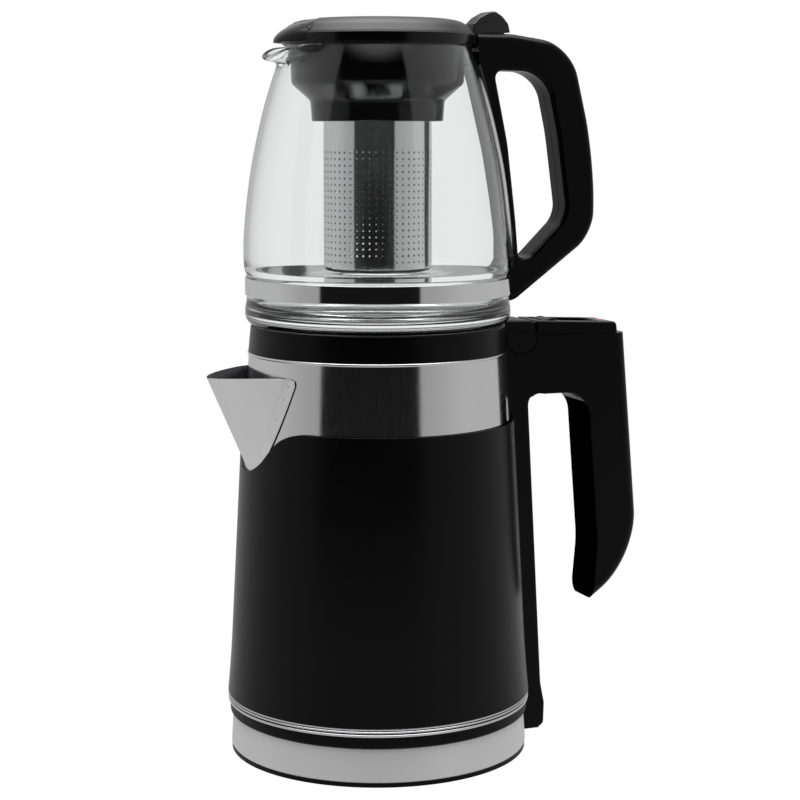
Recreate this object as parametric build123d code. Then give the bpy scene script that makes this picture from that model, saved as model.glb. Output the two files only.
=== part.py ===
from build123d import *
from math import cos, hypot, radians, sin, sqrt
import os

# Two-storey tea maker: a cordless kettle on a power base, with a glass teapot on its lid.
# Millimetres, +Z up, origin on the table at the kettle's axis.
# Handles point along +X, spouts along -X.

# ---- clearances and stock ----
fit = 0.1                   # between moulded pieces that stay together
run = 0.3                   # between pieces that move past each other
pin_play = 0.05             # radial play of a hinge pin
cut = 1.0                   # how far a cutting tool runs past the face it cuts
sheet = 0.8                 # steel sheet of skirt, jacket, vessel and spout
screw_radius = 1.6
screw_head_radius = 3.4
screw_head_thick = 2.0
thread_room = 2.0           # left between a screw's end and the face above it

# ---- power base ----
base_radius = 75.0
base_height = 19.7
base_draw = 0.066           # how much the skirt narrows per millimetre of height
foot_gap = 0.6              # floor plate above the table
floor_thick = 2.0
skirt_flange = 3.3          # turned-in foot of the skirt
deck_thick = 2.3
wall_thick = 2.0
foot_radius = 6.0
foot_inset = 13.0           # centre of a foot in from the edge
foot_count = 4
foot_pocket = 0.8
base_screw_inset = 17.0
base_screw_count = 3
base_screw_turn = 30.0      # degrees from the handle to the first screw
foot_turn = 45.0
boss_radius = 4.5
boss_height = 6.4           # floor boss, which meets the post under the deck
lead_radius = 3.4           # mains lead that the gland is bored for
gland_wall = 1.6
gland_collar = 1.5
gland_reach = 5.0           # how far the gland stands inside the wall
gland_proud = 0.7

# ---- cordless coupling ----
connector_radius = 17.0
connector_rise = 9.3        # above the deck
connector_flange = 3.0
connector_lip = 4.0
contact_bore = 4.0          # radius of the bore for the earth pin
contact_wall = 4.0          # outside the groove for the ring contact
contact_groove = 3.5
contact_depth = 9.0
contact_sheet = 0.6
pin_radius = 2.2
socket_wall = 2.6
socket_gap = 0.5            # socket mouth above the deck
socket_room = 1.0           # above the connector
socket_roof = 2.2

# ---- kettle body ----
kettle_overhang = 1.5       # jacket's foot past the base
trim_inset = 0.1
floor_rim_inset = 1.0
floor_rim_height = 5.8
floor_rim_wall = 7.4
kettle_floor_lift = 3.0     # floor plate above the deck
kettle_floor_thick = 2.5
collar_wall = 2.0
spigot_wall = 2.0
trim_height = 4.2
trim_groove = 0.5
jacket_height = 138.3
jacket_flare = 2.4          # how much the jacket's foot stands out
flare_height = 30.3
kettle_draw = 0.0546        # how much jacket and vessel narrow per millimetre of height
jacket_gap = 1.15           # between jacket and vessel
heater_room = 18.5          # from the floor's rim up to the vessel's bottom
band_height = 34.5          # vessel that shows above the jacket
bead_radius = 0.6
plate_thick = 2.0
element_inset = 31.0        # heating ring in from the vessel's wall
element_tube = 3.4
element_turn = 300.0        # degrees that the heating ring goes round
control_size = (34.0, 22.0, 6.0)

# ---- kettle spout ----
rim_drop = 10.0             # spout's rim below the vessel's
spout_reach = 23.5          # tip from the vessel's wall
spout_half_width = 29.0
spout_depth = 46.5          # from the rim down to the keel's foot
tip_roundness = (0.53, 0.68)        # where the rim turns: share of its reach, share of its width
flange_width = 6.3
flange_low_half_width = 16.0
flange_tail = 5.0           # flange below the keel's foot
flange_corners = (3.0, 12.0)
notch_gap = 0.7             # jacket's lowest edge below the keel's foot
notch_low_arc = 27.0
notch_high_arc = 22.0
pour_hole_radius = 2.0
pour_hole_pitch = 6.5
pour_hole_rows = 4

# ---- kettle lid ----
lid_ring_proud = 0.2        # past the vessel's wall
lid_ring_draw = 0.1
lid_ring_height = 13.0
lid_ring_wall = 2.6
lid_seat_thick = 2.5
plug_wall = 2.4
plug_depth = 6.5
pan_ledge = 4.0
pan_thick = 1.2
steam_hole_radius = 4.0
steam_hole_circle = 34.0
steam_hole_count = 12
seal_width = 3.0
seal_height = 3.6
seal_play = 0.6
ear_radius = 8.8
ear_thick = 2.6
lid_hinge_reach = 8.2       # past the lid's ring
lid_hinge_drop = 3.0        # below the bridge's top
hinge_pin_radius = 1.5

# ---- kettle handle ----
handle_half = 13.5
handle_rise = 5.0           # bridge's top above the vessel's rim
handle_lift = 2.2           # spine's foot above the table
spine_foot_reach = 10.7     # past the jacket's foot
spine_top_reach = 8.5       # past the jacket's top
spine_flare = (1.8, 23.8)   # foot stands out this much, below this height over its end
spine_toe = (0.4, 12.8)
bridge_thick = 28.2
bridge_root = 9.3           # part of the bridge that belongs to the spine
grip_reach = 45.8           # from the seam out to the grip's top corner
grip_heel = (56.2, 119.5)   # heel of the grip: out from the seam, down from the top
grip_tip = (28.6, 139.9)    # inner end of the grip, from the same corner
grip_inner_top = (24.6, 34.8)
grip_belly = (30.7, 110.5)
grip_bends = (46.0, 60.0, 5.0)      # heel, belly and inner top
grip_top_bend = 1.2
grip_round = 6.0
spine_round = 2.5
spine_bends = (6.0, 14.0, 6.0, 1.5)
cover_thick = 2.0
cover_half = 10.5
cover_span = (47.5, 105.5)  # down from the handle's top
cover_inset = 0.15
cap_inset = 5.4             # cap's end in from the grip's corner
cap_lap = 5.4               # cap's start before the seam
cap_high = 7.7              # thickness at the lid's side
cap_low = 5.7               # thickness at the far end
cap_step = 0.8
cap_bevel = 1.0
cap_bend = 1.5
switch_length = 31.2
switch_inset = 4.8
switch_half = 8.0
frame_wall = 1.4
rocker_pivot_rise = 3.7     # pin above the bridge's top
rocker_pin_radius = 1.2
rocker_gap = 0.9            # end clearance that lets the rocker tip
rocker_thick = 4.3
rocker_lift = 3.6           # raised end above the middle
rocker_dip = 0.6            # pressed end below the middle
rocker_bends = (0.5, 2.0, 12.0, 0.5, 0.0, 0.0, 0.0)
lens_radius = 2.0
loom_radius = 1.8
loom_inset = 4.2            # in from the spine's back
loom_drop = 3.8             # below the control, where the loom leaves
bridge_loom_drop = 13.0     # below the bridge's top
loom_bends = (3.0, 6.0, 60.0, 8.0, 3.0)
tongue_half = 9.0
tongue_deep = 4.5
tongue_reach = 5.0
tongue_screw_length = 8.0
foot_screw_sink = 4.2
switch_block = (20.0, 12.0, 9.0)

# ---- glass teapot ----
glass_foot_inset = 1.8      # in from the kettle lid's edge
glass_bulge = 5.0           # widest place past the foot
glass_rim_radius = 45.4
glass_height = 136.1
glass_wall = 2.2
glass_rim_wall = 1.9
glass_floor = 5.5
belly_rise = 24.2           # from the foot up to the widest place
glass_side = ((0.081, 0.229), (0.294, 0.506), (0.716, 0.851))   # way in to the rim, way up to it
band_rise = 15.0
band_width = 8.6
band_sink = 1.3             # seat of the band in from the belly
band_thick = 0.7
band_shoulder = 4.0
lip_reach = 12.6            # tip past the rim
lip_depth = 8.1
lip_half = 12.5
lip_tip_half = 5.5
lip_tip_height = (6.6, 4.0)         # underside and edge of the tip, below the rim
lip_wall = 1.6
lip_root = 3.4              # root in from the rim

# ---- teapot handle ----
pot_handle_half = 9.0
pot_handle_rise = 7.2       # above the glass rim
pot_handle_round = 4.0
pot_brow = (3.9, 0.2)       # past the pin, below the top
pot_shoulder = (13.7, 5.2)  # in from the back, below the top
pot_reach = 49.0            # grip's back past the belly
pot_back = (54.6, 19.1)     # where the back ends: below the rim, above the band
pot_heel = (4.5, 5.5)       # past the belly, below the band
pot_bends = (30.0, 24.0, 190.0, 23.0, 5.0)
pot_hole_top = (13.5, 11.2)         # finger hole: past the glass rim, below it
pot_hole_back = ((20.5, 11.7), (27.3, 42.6))    # out from the belly, below the rim
pot_hole_low = ((32.9, 28.9), (12.3, 8.5), (6.4, 7.5), (4.7, 26.9))     # the same, above the band
pot_hole_front = 6.3                # past the glass, half way up
pot_hole_bends = (4.0, 17.0, 120.0, 13.0, 5.0, 2.5, 80.0, 80.0)
pot_front_low = ((2.9, 4.9), (3.0, 18.9))       # glass side: out from the belly, above the band
pot_front_gap = 2.0
pot_front_top = (4.5, 6.1)          # past the glass rim, below it
pot_front_bends = (2.0, 2.0, 40.0, 60.0, 60.0, 60.0, 10.0)
pot_hinge_reach = 18.1      # past the lid's edge
pot_hinge_rise = 2.7        # above the glass rim
pin_inset = 2.0             # pin's ends in from the handle's sides
arm_half = 6.0
arm_barrel = 4.0
pad_half = 6.0
pad_drop = (2.2, 9.0)       # top and bottom below the rim
stud_length = 9.0
nut_radius = 2.8
nut_thick = 2.4
nut_inset = 1.0
pot_screw_high = (21.6, 3.6)        # joins the halves: out from the brow, below the glass rim
pot_screw_low = (23.5, 3.7)         # out from the belly, above the band
pot_screw_length = 9.0
pot_screw_head = 2.8

# ---- teapot lid ----
lid_gap = 1.8               # lid's edge above the glass rim
lid_side = 7.8              # height of the upright edge
lid_height = 12.0
lid_overlap = 1.6           # lid's edge past the glass rim
lid_wall = 2.2
lid_bevel = ((3.3, 1.5), (8.4, 3.2))        # in from the edge, above the upright edge
lid_flat_inset = 17.0
lid_crown = 0.2
beak_reach = 5.4
beak_half = 20.0
beak_shoulder = (2.5, 9.0)
beak_start = (15.1, 1.6)    # facet's inner end: in from the edge, below the top
beak_edge = 1.1             # facet's outer end above the lid's edge
inner_plug_gap = 1.0
inner_plug_depth = 2.2
inner_plug_wall = 1.8
inner_plug_flange = (0.8, 2.2)      # above the lid's edge
tab_front = ((-16.7, 4.5), (-16.7, 8.7), (-13.3, 12.1), (-8.0, 14.9), (-4.7, 15.2))  # from the pin
tab_back = (-0.9, 12.8)     # corner that sweeps lowest behind the pin
tab_foot = ((2.4, 9.0), (3.3, 4.8))
tab_bends = (0.0, 0.5, 3.0, 2.0, 3.0, 3.0, 3.0, 0.0)
swing_room = 2.3

# ---- infuser ----
rim_lift = 0.1              # air under a flange that rests on glass
holder_flange_inset = 0.8   # flange's edge in from the lid's
holder_flange_thick = 1.5
holder_play = 0.4           # between holder and glass neck
holder_wall = 1.6
holder_shoulder = (0.8, 18.5)       # in from the mouth, below the flange
holder_neck = (6.8, 26.7)           # out from the basket, below the flange
holder_end = (6.1, 36.5)
basket_radius = 26.2
basket_wall = 0.5
basket_depth = 74.6
basket_floor_thick = 2.0
basket_lip = 3.8
hole_radius = 1.4
hole_rows = 6
hole_columns = 12
hole_margin = (9.4, 17.2)   # from the basket's bottom, from the holder


def solid_of(profile):
    """Turn a closed list of (radius, height) corners about the Z axis."""
    corners = Polyline(*profile, close=True)
    return revolve(Plane.XZ * make_face(corners), Axis.Z)


def ring(inner, outer, low, high):
    tube = Pos(0, 0, (low + high) / 2) * Cylinder(outer, high - low)
    if inner > 0:
        tube -= Pos(0, 0, (low + high) / 2) * Cylinder(inner, high - low + 2 * cut)
    return tube


def post(radius, x, y, low, high):
    return Pos(x, y, (low + high) / 2) * Cylinder(radius, high - low)


def rod_y(radius, x, z, half):
    """A round bar along Y, centred on the X-Z plane."""
    return Pos(x, 0, z) * Rot(90, 0, 0) * Cylinder(radius, 2 * half)


def rod_x(radius, start, end, z):
    """A round bar along X."""
    return Pos((start + end) / 2, 0, z) * Rot(0, 90, 0) * Cylinder(radius, end - start)


def disc_y(radius, x, z, start, end):
    """A round bar along Y from start to end."""
    return Pos(x, (start + end) / 2, z) * Rot(90, 0, 0) * Cylinder(radius, abs(end - start))


def block(x_range, y_range, z_range):
    size = [b - a for a, b in (x_range, y_range, z_range)]
    middle = [(a + b) / 2 for a, b in (x_range, y_range, z_range)]
    return Pos(*middle) * Box(*size)


def side_plate(corners, radii, half):
    """A plate in the X-Z plane with rounded corners, reaching half to each side of it."""
    outline = FilletPolyline(*corners, radius=radii, close=True)
    return extrude(Plane.XZ * make_face(outline), half, both=True)


def plate_along_x(outline):
    """A plate drawn in the Y-Z plane and drawn out along -X, past the whole object."""
    looking_along_x = Plane((0, 0, 0), x_dir=(0, 1, 0), z_dir=(1, 0, 0))
    return extrude(looking_along_x * make_face(outline), -2 * base_radius)


def side_edges(blank, half):
    """The edges round both flat sides of a plate."""
    return blank.edges().filter_by(lambda e: abs(abs(e.center().Y) - half) < 0.01)


def around(count, radius, start=0.0):
    """Points spaced evenly on a circle."""
    angles = [radians(start + 360 * k / count) for k in range(count)]
    return [(radius * cos(a), radius * sin(a)) for a in angles]


def keep(name, shape):
    """Write one node as its own file."""
    shape.label = name
    export_step(shape, os.path.join("parts", name + ".step"))


# ---- power base ----

floor_top = foot_gap + floor_thick
deck_top = base_height
deck_low = deck_top - deck_thick
boss_joint = floor_top + boss_height
wall_radius = base_radius - skirt_flange - run
screw_seat = foot_gap + screw_head_thick + run
gland_height = (floor_top + deck_low) / 2
gland_radius = lead_radius + gland_wall


def skirt_radius(z):
    return base_radius - base_draw * (z - floor_top)


deck_radius = skirt_radius(deck_top) - sheet - run


def screw_places():
    return around(base_screw_count, base_radius - base_screw_inset, base_screw_turn)


def foot_places():
    return around(foot_count, base_radius - foot_inset, foot_turn)


def gland_bar(radius, start, end):
    """A round bar along the lead's way out, at the back of the base."""
    return Pos(0, (start + end) / 2, gland_height) * Rot(90, 0, 0) * Cylinder(radius, end - start)


def make_base_floor():
    plate = ring(0, base_radius - run, foot_gap, floor_top)
    plate += ring(wall_radius - wall_thick, wall_radius, floor_top, deck_low)
    for x, y in screw_places():
        plate += post(boss_radius, x, y, floor_top, boss_joint)
    for x, y in screw_places():
        plate -= post(screw_head_radius + fit, x, y, 0, screw_seat)
        plate -= post(screw_radius + fit, x, y, 0, boss_joint + cut)
    for x, y in foot_places():
        plate -= post(foot_radius + fit, x, y, 0, foot_gap + foot_pocket)
    return plate - gland_bar(gland_radius + fit, wall_radius - 2 * wall_thick, base_radius)


def make_feet():
    return Compound([post(foot_radius, x, y, 0, foot_gap + foot_pocket) for x, y in foot_places()])


def make_base_skirt():
    top = deck_top - run
    outline = [
        (wall_radius + run, floor_top),
        (skirt_radius(floor_top), floor_top),
        (skirt_radius(top), top),
        (skirt_radius(top) - sheet, top),
        (skirt_radius(floor_top) - sheet, floor_top + sheet),
        (wall_radius + run, floor_top + sheet),
    ]
    return solid_of(outline) - gland_bar(gland_radius + fit, wall_radius, base_radius + cut)


def make_base_deck():
    deck = ring(connector_radius + fit, deck_radius, deck_low, deck_top)
    for x, y in screw_places():
        deck += post(boss_radius, x, y, boss_joint, deck_low)
        deck -= post(screw_radius + fit, x, y, boss_joint - cut, deck_low - thread_room / 2)
    return deck


# ---- cordless coupling ----

connector_top = deck_top + connector_rise
contact_low = connector_top - contact_depth
groove_outer = connector_radius - contact_wall
groove_inner = groove_outer - contact_groove
socket_radius = connector_radius + run + fit + socket_wall
socket_inside = connector_top + socket_room
socket_top = socket_inside + socket_roof


def make_connector():
    body = ring(0, connector_radius, deck_low - connector_flange, connector_top)
    body += ring(0, connector_radius + connector_lip, deck_low - connector_flange, deck_low)
    body -= ring(0, contact_bore, contact_low, connector_top + cut)
    return body - ring(groove_inner, groove_outer, contact_low, connector_top + cut)


def make_base_contacts():
    """Earth tube and live ring, each against the outside of its recess."""
    top = connector_top - contact_sheet
    outers = (contact_bore - fit, groove_outer - fit)
    return Compound([ring(outer - contact_sheet, outer, contact_low, top) for outer in outers])


def make_screw(x, y, seat, end):
    """A pan-head screw driven upwards, its head resting at the height seat."""
    low = seat - screw_head_thick
    head = post(screw_head_radius, x, y, low, seat)
    head -= post(screw_radius, x, y, low - cut, low + screw_head_thick / 2)
    return head + post(screw_radius, x, y, seat, end)


def make_base_screws():
    return Compound([make_screw(x, y, screw_seat, deck_low - thread_room) for x, y in screw_places()])


def make_gland():
    """Bush for the mains lead, held behind the wall by its collar."""
    inside = wall_radius - wall_thick - gland_reach
    collar = gland_radius + gland_collar
    collar_end = sqrt((wall_radius - wall_thick) ** 2 - collar ** 2) - fit
    bush = gland_bar(gland_radius, inside, skirt_radius(gland_height) + gland_proud)
    bush += gland_bar(collar, inside, collar_end)
    return bush - gland_bar(lead_radius, inside - cut, base_radius + gland_proud + cut)


def make_socket():
    cup = ring(0, socket_radius, deck_top + socket_gap, socket_top)
    return cup - ring(0, socket_radius - socket_wall, deck_top, socket_inside)


def make_socket_contacts():
    """Earth pin and ring blade, both hanging from the socket's roof."""
    low = socket_inside - contact_depth / 2
    blade_inner = groove_inner + 3 * run
    blade = ring(blade_inner, blade_inner + contact_sheet, low, socket_inside)
    return Compound([post(pin_radius, 0, 0, low, socket_inside), blade])


# ---- kettle body ----

jacket_foot_radius = base_radius + kettle_overhang
trim_radius = jacket_foot_radius - trim_inset
floor_rim_radius = trim_radius - floor_rim_inset
floor_rim_inner = floor_rim_radius - floor_rim_wall
floor_rim_top = deck_top + floor_rim_height
trim_top = floor_rim_top + trim_height
jacket_flare_top = trim_top + flare_height
jacket_flare_radius = jacket_foot_radius - jacket_flare
jacket_top = trim_top + jacket_height
jacket_top_radius = jacket_flare_radius - kettle_draw * (jacket_top - jacket_flare_top)
vessel_bottom = floor_rim_top + heater_room
vessel_top = jacket_top + band_height
vessel_top_radius = jacket_top_radius - sheet - jacket_gap - kettle_draw * band_height
spout_rim = vessel_top - rim_drop
spout_foot = spout_rim - spout_depth


def vessel_radius(z):
    return vessel_top_radius + kettle_draw * (vessel_top - z)


def jacket_line(shift):
    """The jacket's outside line from its top edge down to its foot, moved in by shift."""
    top = (jacket_top_radius - shift, jacket_top)
    bend = (jacket_flare_radius - shift, jacket_flare_top)
    foot = (jacket_foot_radius - shift, trim_top)
    return Line(top, bend), TangentArc(bend, foot, tangent=(kettle_draw, -1))


def make_kettle_floor():
    spigot = vessel_radius(vessel_bottom)
    plate_low = deck_top + kettle_floor_lift
    plate_high = plate_low + kettle_floor_thick
    hub = socket_radius + run
    outline = [
        (hub, plate_low),
        (floor_rim_inner, plate_low),
        (floor_rim_inner, deck_top),
        (floor_rim_radius, deck_top),
        (floor_rim_radius, floor_rim_top),
        (spigot, floor_rim_top),
        (spigot, vessel_bottom),
        (spigot - spigot_wall, vessel_bottom),
        (spigot - spigot_wall, plate_high),
        (hub + collar_wall, plate_high),
        (hub + collar_wall, socket_top + run),
        (hub, socket_top + run),
    ]
    return solid_of(outline) - foot_screw(fit) - loom(fit)


def make_trim_ring():
    """Bright ring with two fine grooves round it."""
    third = trim_height / 3
    trim = ring(vessel_radius(vessel_bottom) + fit, trim_radius, floor_rim_top, trim_top)
    for middle in (floor_rim_top + third, trim_top - third):
        low, high = middle - trim_groove / 2, middle + trim_groove / 2
        trim -= ring(trim_radius - trim_groove, trim_radius + cut, low, high)
    return trim


def notch_outline():
    """The S-shaped dip of the jacket's top edge, seen along X: two arcs at 45 degrees."""
    s = sin(radians(45))
    bottom, above = spout_foot - notch_gap, jacket_top + cut
    low_end = (notch_low_arc * s, bottom + notch_low_arc * (1 - s))
    rise = jacket_top - low_end[1] - notch_high_arc * (1 - s)
    high_start = (low_end[0] + rise, low_end[1] + rise)
    high_end = (high_start[0] + notch_high_arc * s, jacket_top)
    right = [
        TangentArc((0, bottom), low_end, tangent=(1, 0)),
        Line(low_end, high_start),
        TangentArc(high_start, high_end, tangent=(1, 1)),
        Line(high_end, (high_end[0], above)),
        Line((high_end[0], above), (0, above)),
    ]
    left = [edge.mirror(Plane.YZ) for edge in right]
    return Curve() + right + left


def make_jacket():
    outer_line, outer_arc = jacket_line(0)
    inner_line, inner_arc = jacket_line(sheet)
    closing = [Line(outer_line @ 0, inner_line @ 0), Line(outer_arc @ 1, inner_arc @ 1)]
    section = make_face(Curve() + [outer_line, outer_arc, inner_line, inner_arc] + closing)
    shell = revolve(Plane.XZ * section, Axis.Z)
    return shell - plate_along_x(notch_outline()) - loom(2 * fit)


def pour_holes():
    """Drill bars for the strainer holes behind the spout, in a triangle."""
    bars = []
    for row in range(pour_hole_rows):
        z = spout_rim - pour_hole_pitch * (row + 1)
        count = 2 * (pour_hole_rows - row) - 1
        for k in range(count):
            y = (k - (count - 1) / 2) * pour_hole_pitch
            bar = Cylinder(pour_hole_radius, spout_half_width)
            bars.append(Pos(-vessel_top_radius, y, z) * Rot(0, 90, 0) * bar)
    return bars


def make_vessel():
    low, high = vessel_bottom, vessel_top
    outline = [
        (vessel_radius(low), low),
        (vessel_radius(high), high),
        (vessel_radius(high) - sheet, high),
        (vessel_radius(low) - sheet, low),
    ]
    bead = ring(vessel_top_radius - sheet, vessel_top_radius + bead_radius, high - 2 * bead_radius, high)
    return solid_of(outline) + bead - pour_holes()


def make_heater_plate():
    """Plate that closes the vessel's bottom, a fit inside its wall."""
    top = vessel_bottom + plate_thick
    return ring(0, vessel_radius(top) - sheet - 2 * fit, vessel_bottom, top)


def make_element():
    """Open ring of sheathed heating tube under the plate."""
    centre_z = vessel_bottom - element_tube
    element_radius = vessel_radius(vessel_bottom) - element_inset
    circle = Pos(element_radius, 0, centre_z) * Rot(90, 0, 0) * Circle(element_tube)
    return revolve(circle, Axis.Z, revolution_arc=element_turn)


def make_control():
    """Thermostat block between the socket and the heater plate."""
    x, y, height = control_size
    return block((-x / 2, x / 2), (-y / 2, y / 2), (vessel_bottom - height, vessel_bottom))


# ---- kettle spout ----

def spout_cone(grow, extra_height):
    """Solid cone from the rim's plan shape down to the keel's foot, swelled by grow."""
    share = 1 + extra_height / spout_depth
    root = -vessel_radius(spout_foot)
    wall = -sqrt(vessel_radius(spout_rim) ** 2 - spout_half_width ** 2)
    tip = -vessel_radius(spout_rim) - spout_reach - 2 * grow
    half = (spout_half_width + grow) * share
    wall_x, tip_x = root + (wall - root) * share, root + (tip - root) * share
    turn_x, turn_y = tip_x + tip_roundness[0] * (wall_x - tip_x), tip_roundness[1] * half
    back = wall_x / 2
    rim = [
        Spline((wall_x, half), (turn_x, turn_y), (tip_x, 0), (turn_x, -turn_y), (wall_x, -half)),
        Line((wall_x, half), (back, half)),
        Line((back, half), (back, -half)),
        Line((wall_x, -half), (back, -half)),
    ]
    top = Pos(0, 0, spout_rim + extra_height) * make_face(Curve() + rim)
    return loft([top.face(), Vertex(root - grow, 0, spout_foot - 2 * grow)])


def vessel_plug(gap, low, high):
    """Solid cone that fills the vessel's outside, swelled by gap."""
    low_radius, high_radius = vessel_radius(low) + gap, vessel_radius(high) + gap
    return solid_of([(0, low), (low_radius, low), (high_radius, high), (0, high)])


def make_spout():
    """Pressed trough with a flange that lies on the vessel's wall."""
    hollow = spout_cone(0, cut)
    trough = spout_cone(sheet, 0) - hollow
    high_half, low = spout_half_width + flange_width, spout_foot - flange_tail
    corners = [
        (high_half, spout_rim),
        (flange_low_half_width, low),
        (-flange_low_half_width, low),
        (-high_half, spout_rim),
    ]
    bends = [flange_corners[0], flange_corners[1], flange_corners[1], flange_corners[0]]
    patch = plate_along_x(FilletPolyline(*corners, radius=bends, close=True))
    skin = vessel_plug(sheet, low - cut, spout_rim) & patch
    return (skin + trough) - vessel_plug(fit / 2, low - 2 * cut, vessel_top) - hollow


# ---- kettle lid ----

lid_ring_radius = vessel_top_radius + lid_ring_proud
lid_ring_top = vessel_top + lid_ring_height
plug_radius = vessel_top_radius - sheet - seal_width - seal_play
plug_inside = plug_radius - plug_wall
pan_low = vessel_top - plug_depth + pan_ledge / 2
handle_top = vessel_top + handle_rise
cap_half = handle_half - cap_step
seam_x = jacket_top_radius + spine_top_reach + bridge_root
cap_start_x = seam_x - cap_lap
lug_end_x = cap_start_x - run
lid_hinge_x = lid_ring_radius + lid_hinge_reach
lid_hinge_z = handle_top - lid_hinge_drop


def lid_ring_outer(z):
    return lid_ring_radius - lid_ring_draw * (z - vessel_top)


def make_kettle_lid():
    inner = lid_ring_radius - lid_ring_wall
    seat_low = lid_ring_top - lid_seat_thick
    plug_low = vessel_top - plug_depth
    outline = [
        (inner, vessel_top),
        (lid_ring_outer(vessel_top), vessel_top),
        (lid_ring_outer(lid_ring_top), lid_ring_top),
        (plug_inside, lid_ring_top),
        (plug_inside, pan_low),
        (plug_inside - pan_ledge, pan_low),
        (plug_inside - pan_ledge, plug_low),
        (plug_radius, plug_low),
        (plug_radius, seat_low),
        (inner, seat_low),
    ]
    bore = rod_y(hinge_pin_radius + pin_play, lid_hinge_x, lid_hinge_z, handle_half + cut)
    return solid_of(outline) + lug() + ear(-1) + ear(1) - bore


def lug():
    """Flat arm from the lid's ring out to the hinge."""
    start = lid_ring_radius - lid_ring_wall
    arm = block((start, lug_end_x), (-cap_half, cap_half), (handle_top + run, handle_top + cap_high))
    return arm - ring(0, lid_ring_outer(lid_ring_top) - cut, handle_top, handle_top + cap_high + cut)


def ear(side):
    """Half-round ear that hangs from the lug beside the handle."""
    outside = side * (handle_half - fit)
    inside = side * (handle_half - fit - ear_thick)
    disc = disc_y(ear_radius, lid_hinge_x, handle_top, inside, outside)
    half = handle_half + cut
    disc -= block((0, 2 * lid_hinge_x), (-half, half), (handle_top - fit, handle_top + 2 * ear_radius))
    across = sorted((inside, side * min(cap_half, abs(outside))))
    bridge = block((lid_hinge_x - ear_radius, lug_end_x), across, (handle_top - cut, handle_top + cut))
    return disc + bridge


def make_lid_pan():
    pan = ring(0, plug_inside - fit, pan_low, pan_low + pan_thick)
    for x, y in around(steam_hole_count, steam_hole_circle):
        pan -= post(steam_hole_radius, x, y, pan_low - cut, pan_low + pan_thick + cut)
    return pan - post(2 * steam_hole_radius, 0, 0, pan_low - cut, pan_low + pan_thick + cut)


def make_lid_seal():
    inner = plug_radius + fit / 2
    low = vessel_top - plug_depth + run
    return ring(inner, inner + seal_width, low, low + seal_height)


def make_kettle_lid_pin():
    return rod_y(hinge_pin_radius, lid_hinge_x, lid_hinge_z, handle_half - fit)


# ---- kettle handle ----

spine_foot_x = jacket_foot_radius + spine_foot_reach
spine_top_x = jacket_top_radius + spine_top_reach
gap_top = handle_top - bridge_thick
foot_screw_x = spine_foot_x - foot_screw_sink
tongue_screw_x = seam_x - tongue_reach / 2
grip_top_x = seam_x + grip_reach
cap_end_x = grip_top_x - cap_inset
switch_x = (cap_start_x + switch_inset, cap_start_x + switch_inset + switch_length)
switch_middle = sum(switch_x) / 2
rocker_pivot_z = handle_top + rocker_pivot_rise
lens_x = (switch_x[1] + frame_wall + cap_end_x) / 2


def handle_point(place):
    """A point of the grip given as (out from the seam, down from the top)."""
    return seam_x + place[0], handle_top - place[1]


def spine_back(z):
    """The spine's straight back, which leans out towards its foot."""
    low_x, low_z = spine_foot_x - spine_flare[0], handle_lift + spine_flare[1]
    return spine_top_x + (low_x - spine_top_x) * (gap_top - z) / (gap_top - low_z)


def kettle_envelope():
    """All that the handle has to stay clear of: base, trim, jacket, band and lid ring."""
    base_gap = base_radius + run + cut
    bead_gap = lid_ring_radius + bead_radius + run
    bead_low = vessel_top - 2 * bead_radius - run
    outline = [
        (0, -cut),
        (base_gap, -cut),
        (base_gap, deck_top),
        (trim_radius + run, deck_top),
        (trim_radius + run, trim_top + run),
        (jacket_foot_radius + run, trim_top + run),
        (jacket_foot_radius - jacket_flare / 2 + run, trim_top + flare_height / 2),
        (jacket_flare_radius + run, jacket_flare_top),
        (jacket_top_radius + run, jacket_top + run),
        (vessel_radius(jacket_top) + run, jacket_top + run),
        (vessel_radius(bead_low) + run, bead_low),
        (bead_gap, bead_low),
        (bead_gap, lid_ring_top + cut),
        (0, lid_ring_top + cut),
    ]
    return solid_of(outline)


def ear_pockets():
    """Room for the lid's two ears, their pin and its bore."""
    room = rod_y(hinge_pin_radius + fit, lid_hinge_x, lid_hinge_z, handle_half + cut)
    inside, outside = handle_half - ear_thick - fit - run, handle_half + cut
    for side in (-1, 1):
        room += disc_y(ear_radius + run, lid_hinge_x, handle_top, side * inside, side * outside)
    return room


def tongue(gap):
    """Tongue of the grip's bridge, let into the spine's top."""
    half = tongue_half + gap
    return block((seam_x - tongue_reach - gap, seam_x + cut), (-half, half),
                 (handle_top - tongue_deep - gap, handle_top + (cut if gap else 0)))


def make_spine():
    inside = lid_ring_radius - lid_ring_wall
    slope = (grip_inner_top[1] - bridge_thick) / (grip_inner_top[0] + bridge_root)
    low_x, low_z = spine_foot_x - spine_flare[0], handle_lift + spine_flare[1]
    corners = [
        (inside, handle_top),
        (seam_x, handle_top),
        (seam_x, gap_top - slope * bridge_root),
        (spine_top_x, gap_top),
        (low_x, low_z),
        (spine_foot_x + spine_toe[0], handle_lift + spine_toe[1]),
        (spine_foot_x, handle_lift + spine_round),
        (inside, handle_lift),
    ]
    blank = side_plate(corners, [0, 0, 0, *spine_bends, 0], handle_half)
    back = side_edges(blank, handle_half).filter_by(lambda e: e.center().X > spine_top_x)
    below_bridge = back.filter_by(lambda e: e.center().Z < gap_top - spine_bends[0])
    blank = fillet(below_bridge, spine_round)
    blank -= kettle_envelope()
    blank -= ear_pockets()
    return blank - tongue(fit) - loom(fit) - foot_screw(fit) - tongue_screw(fit)


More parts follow.
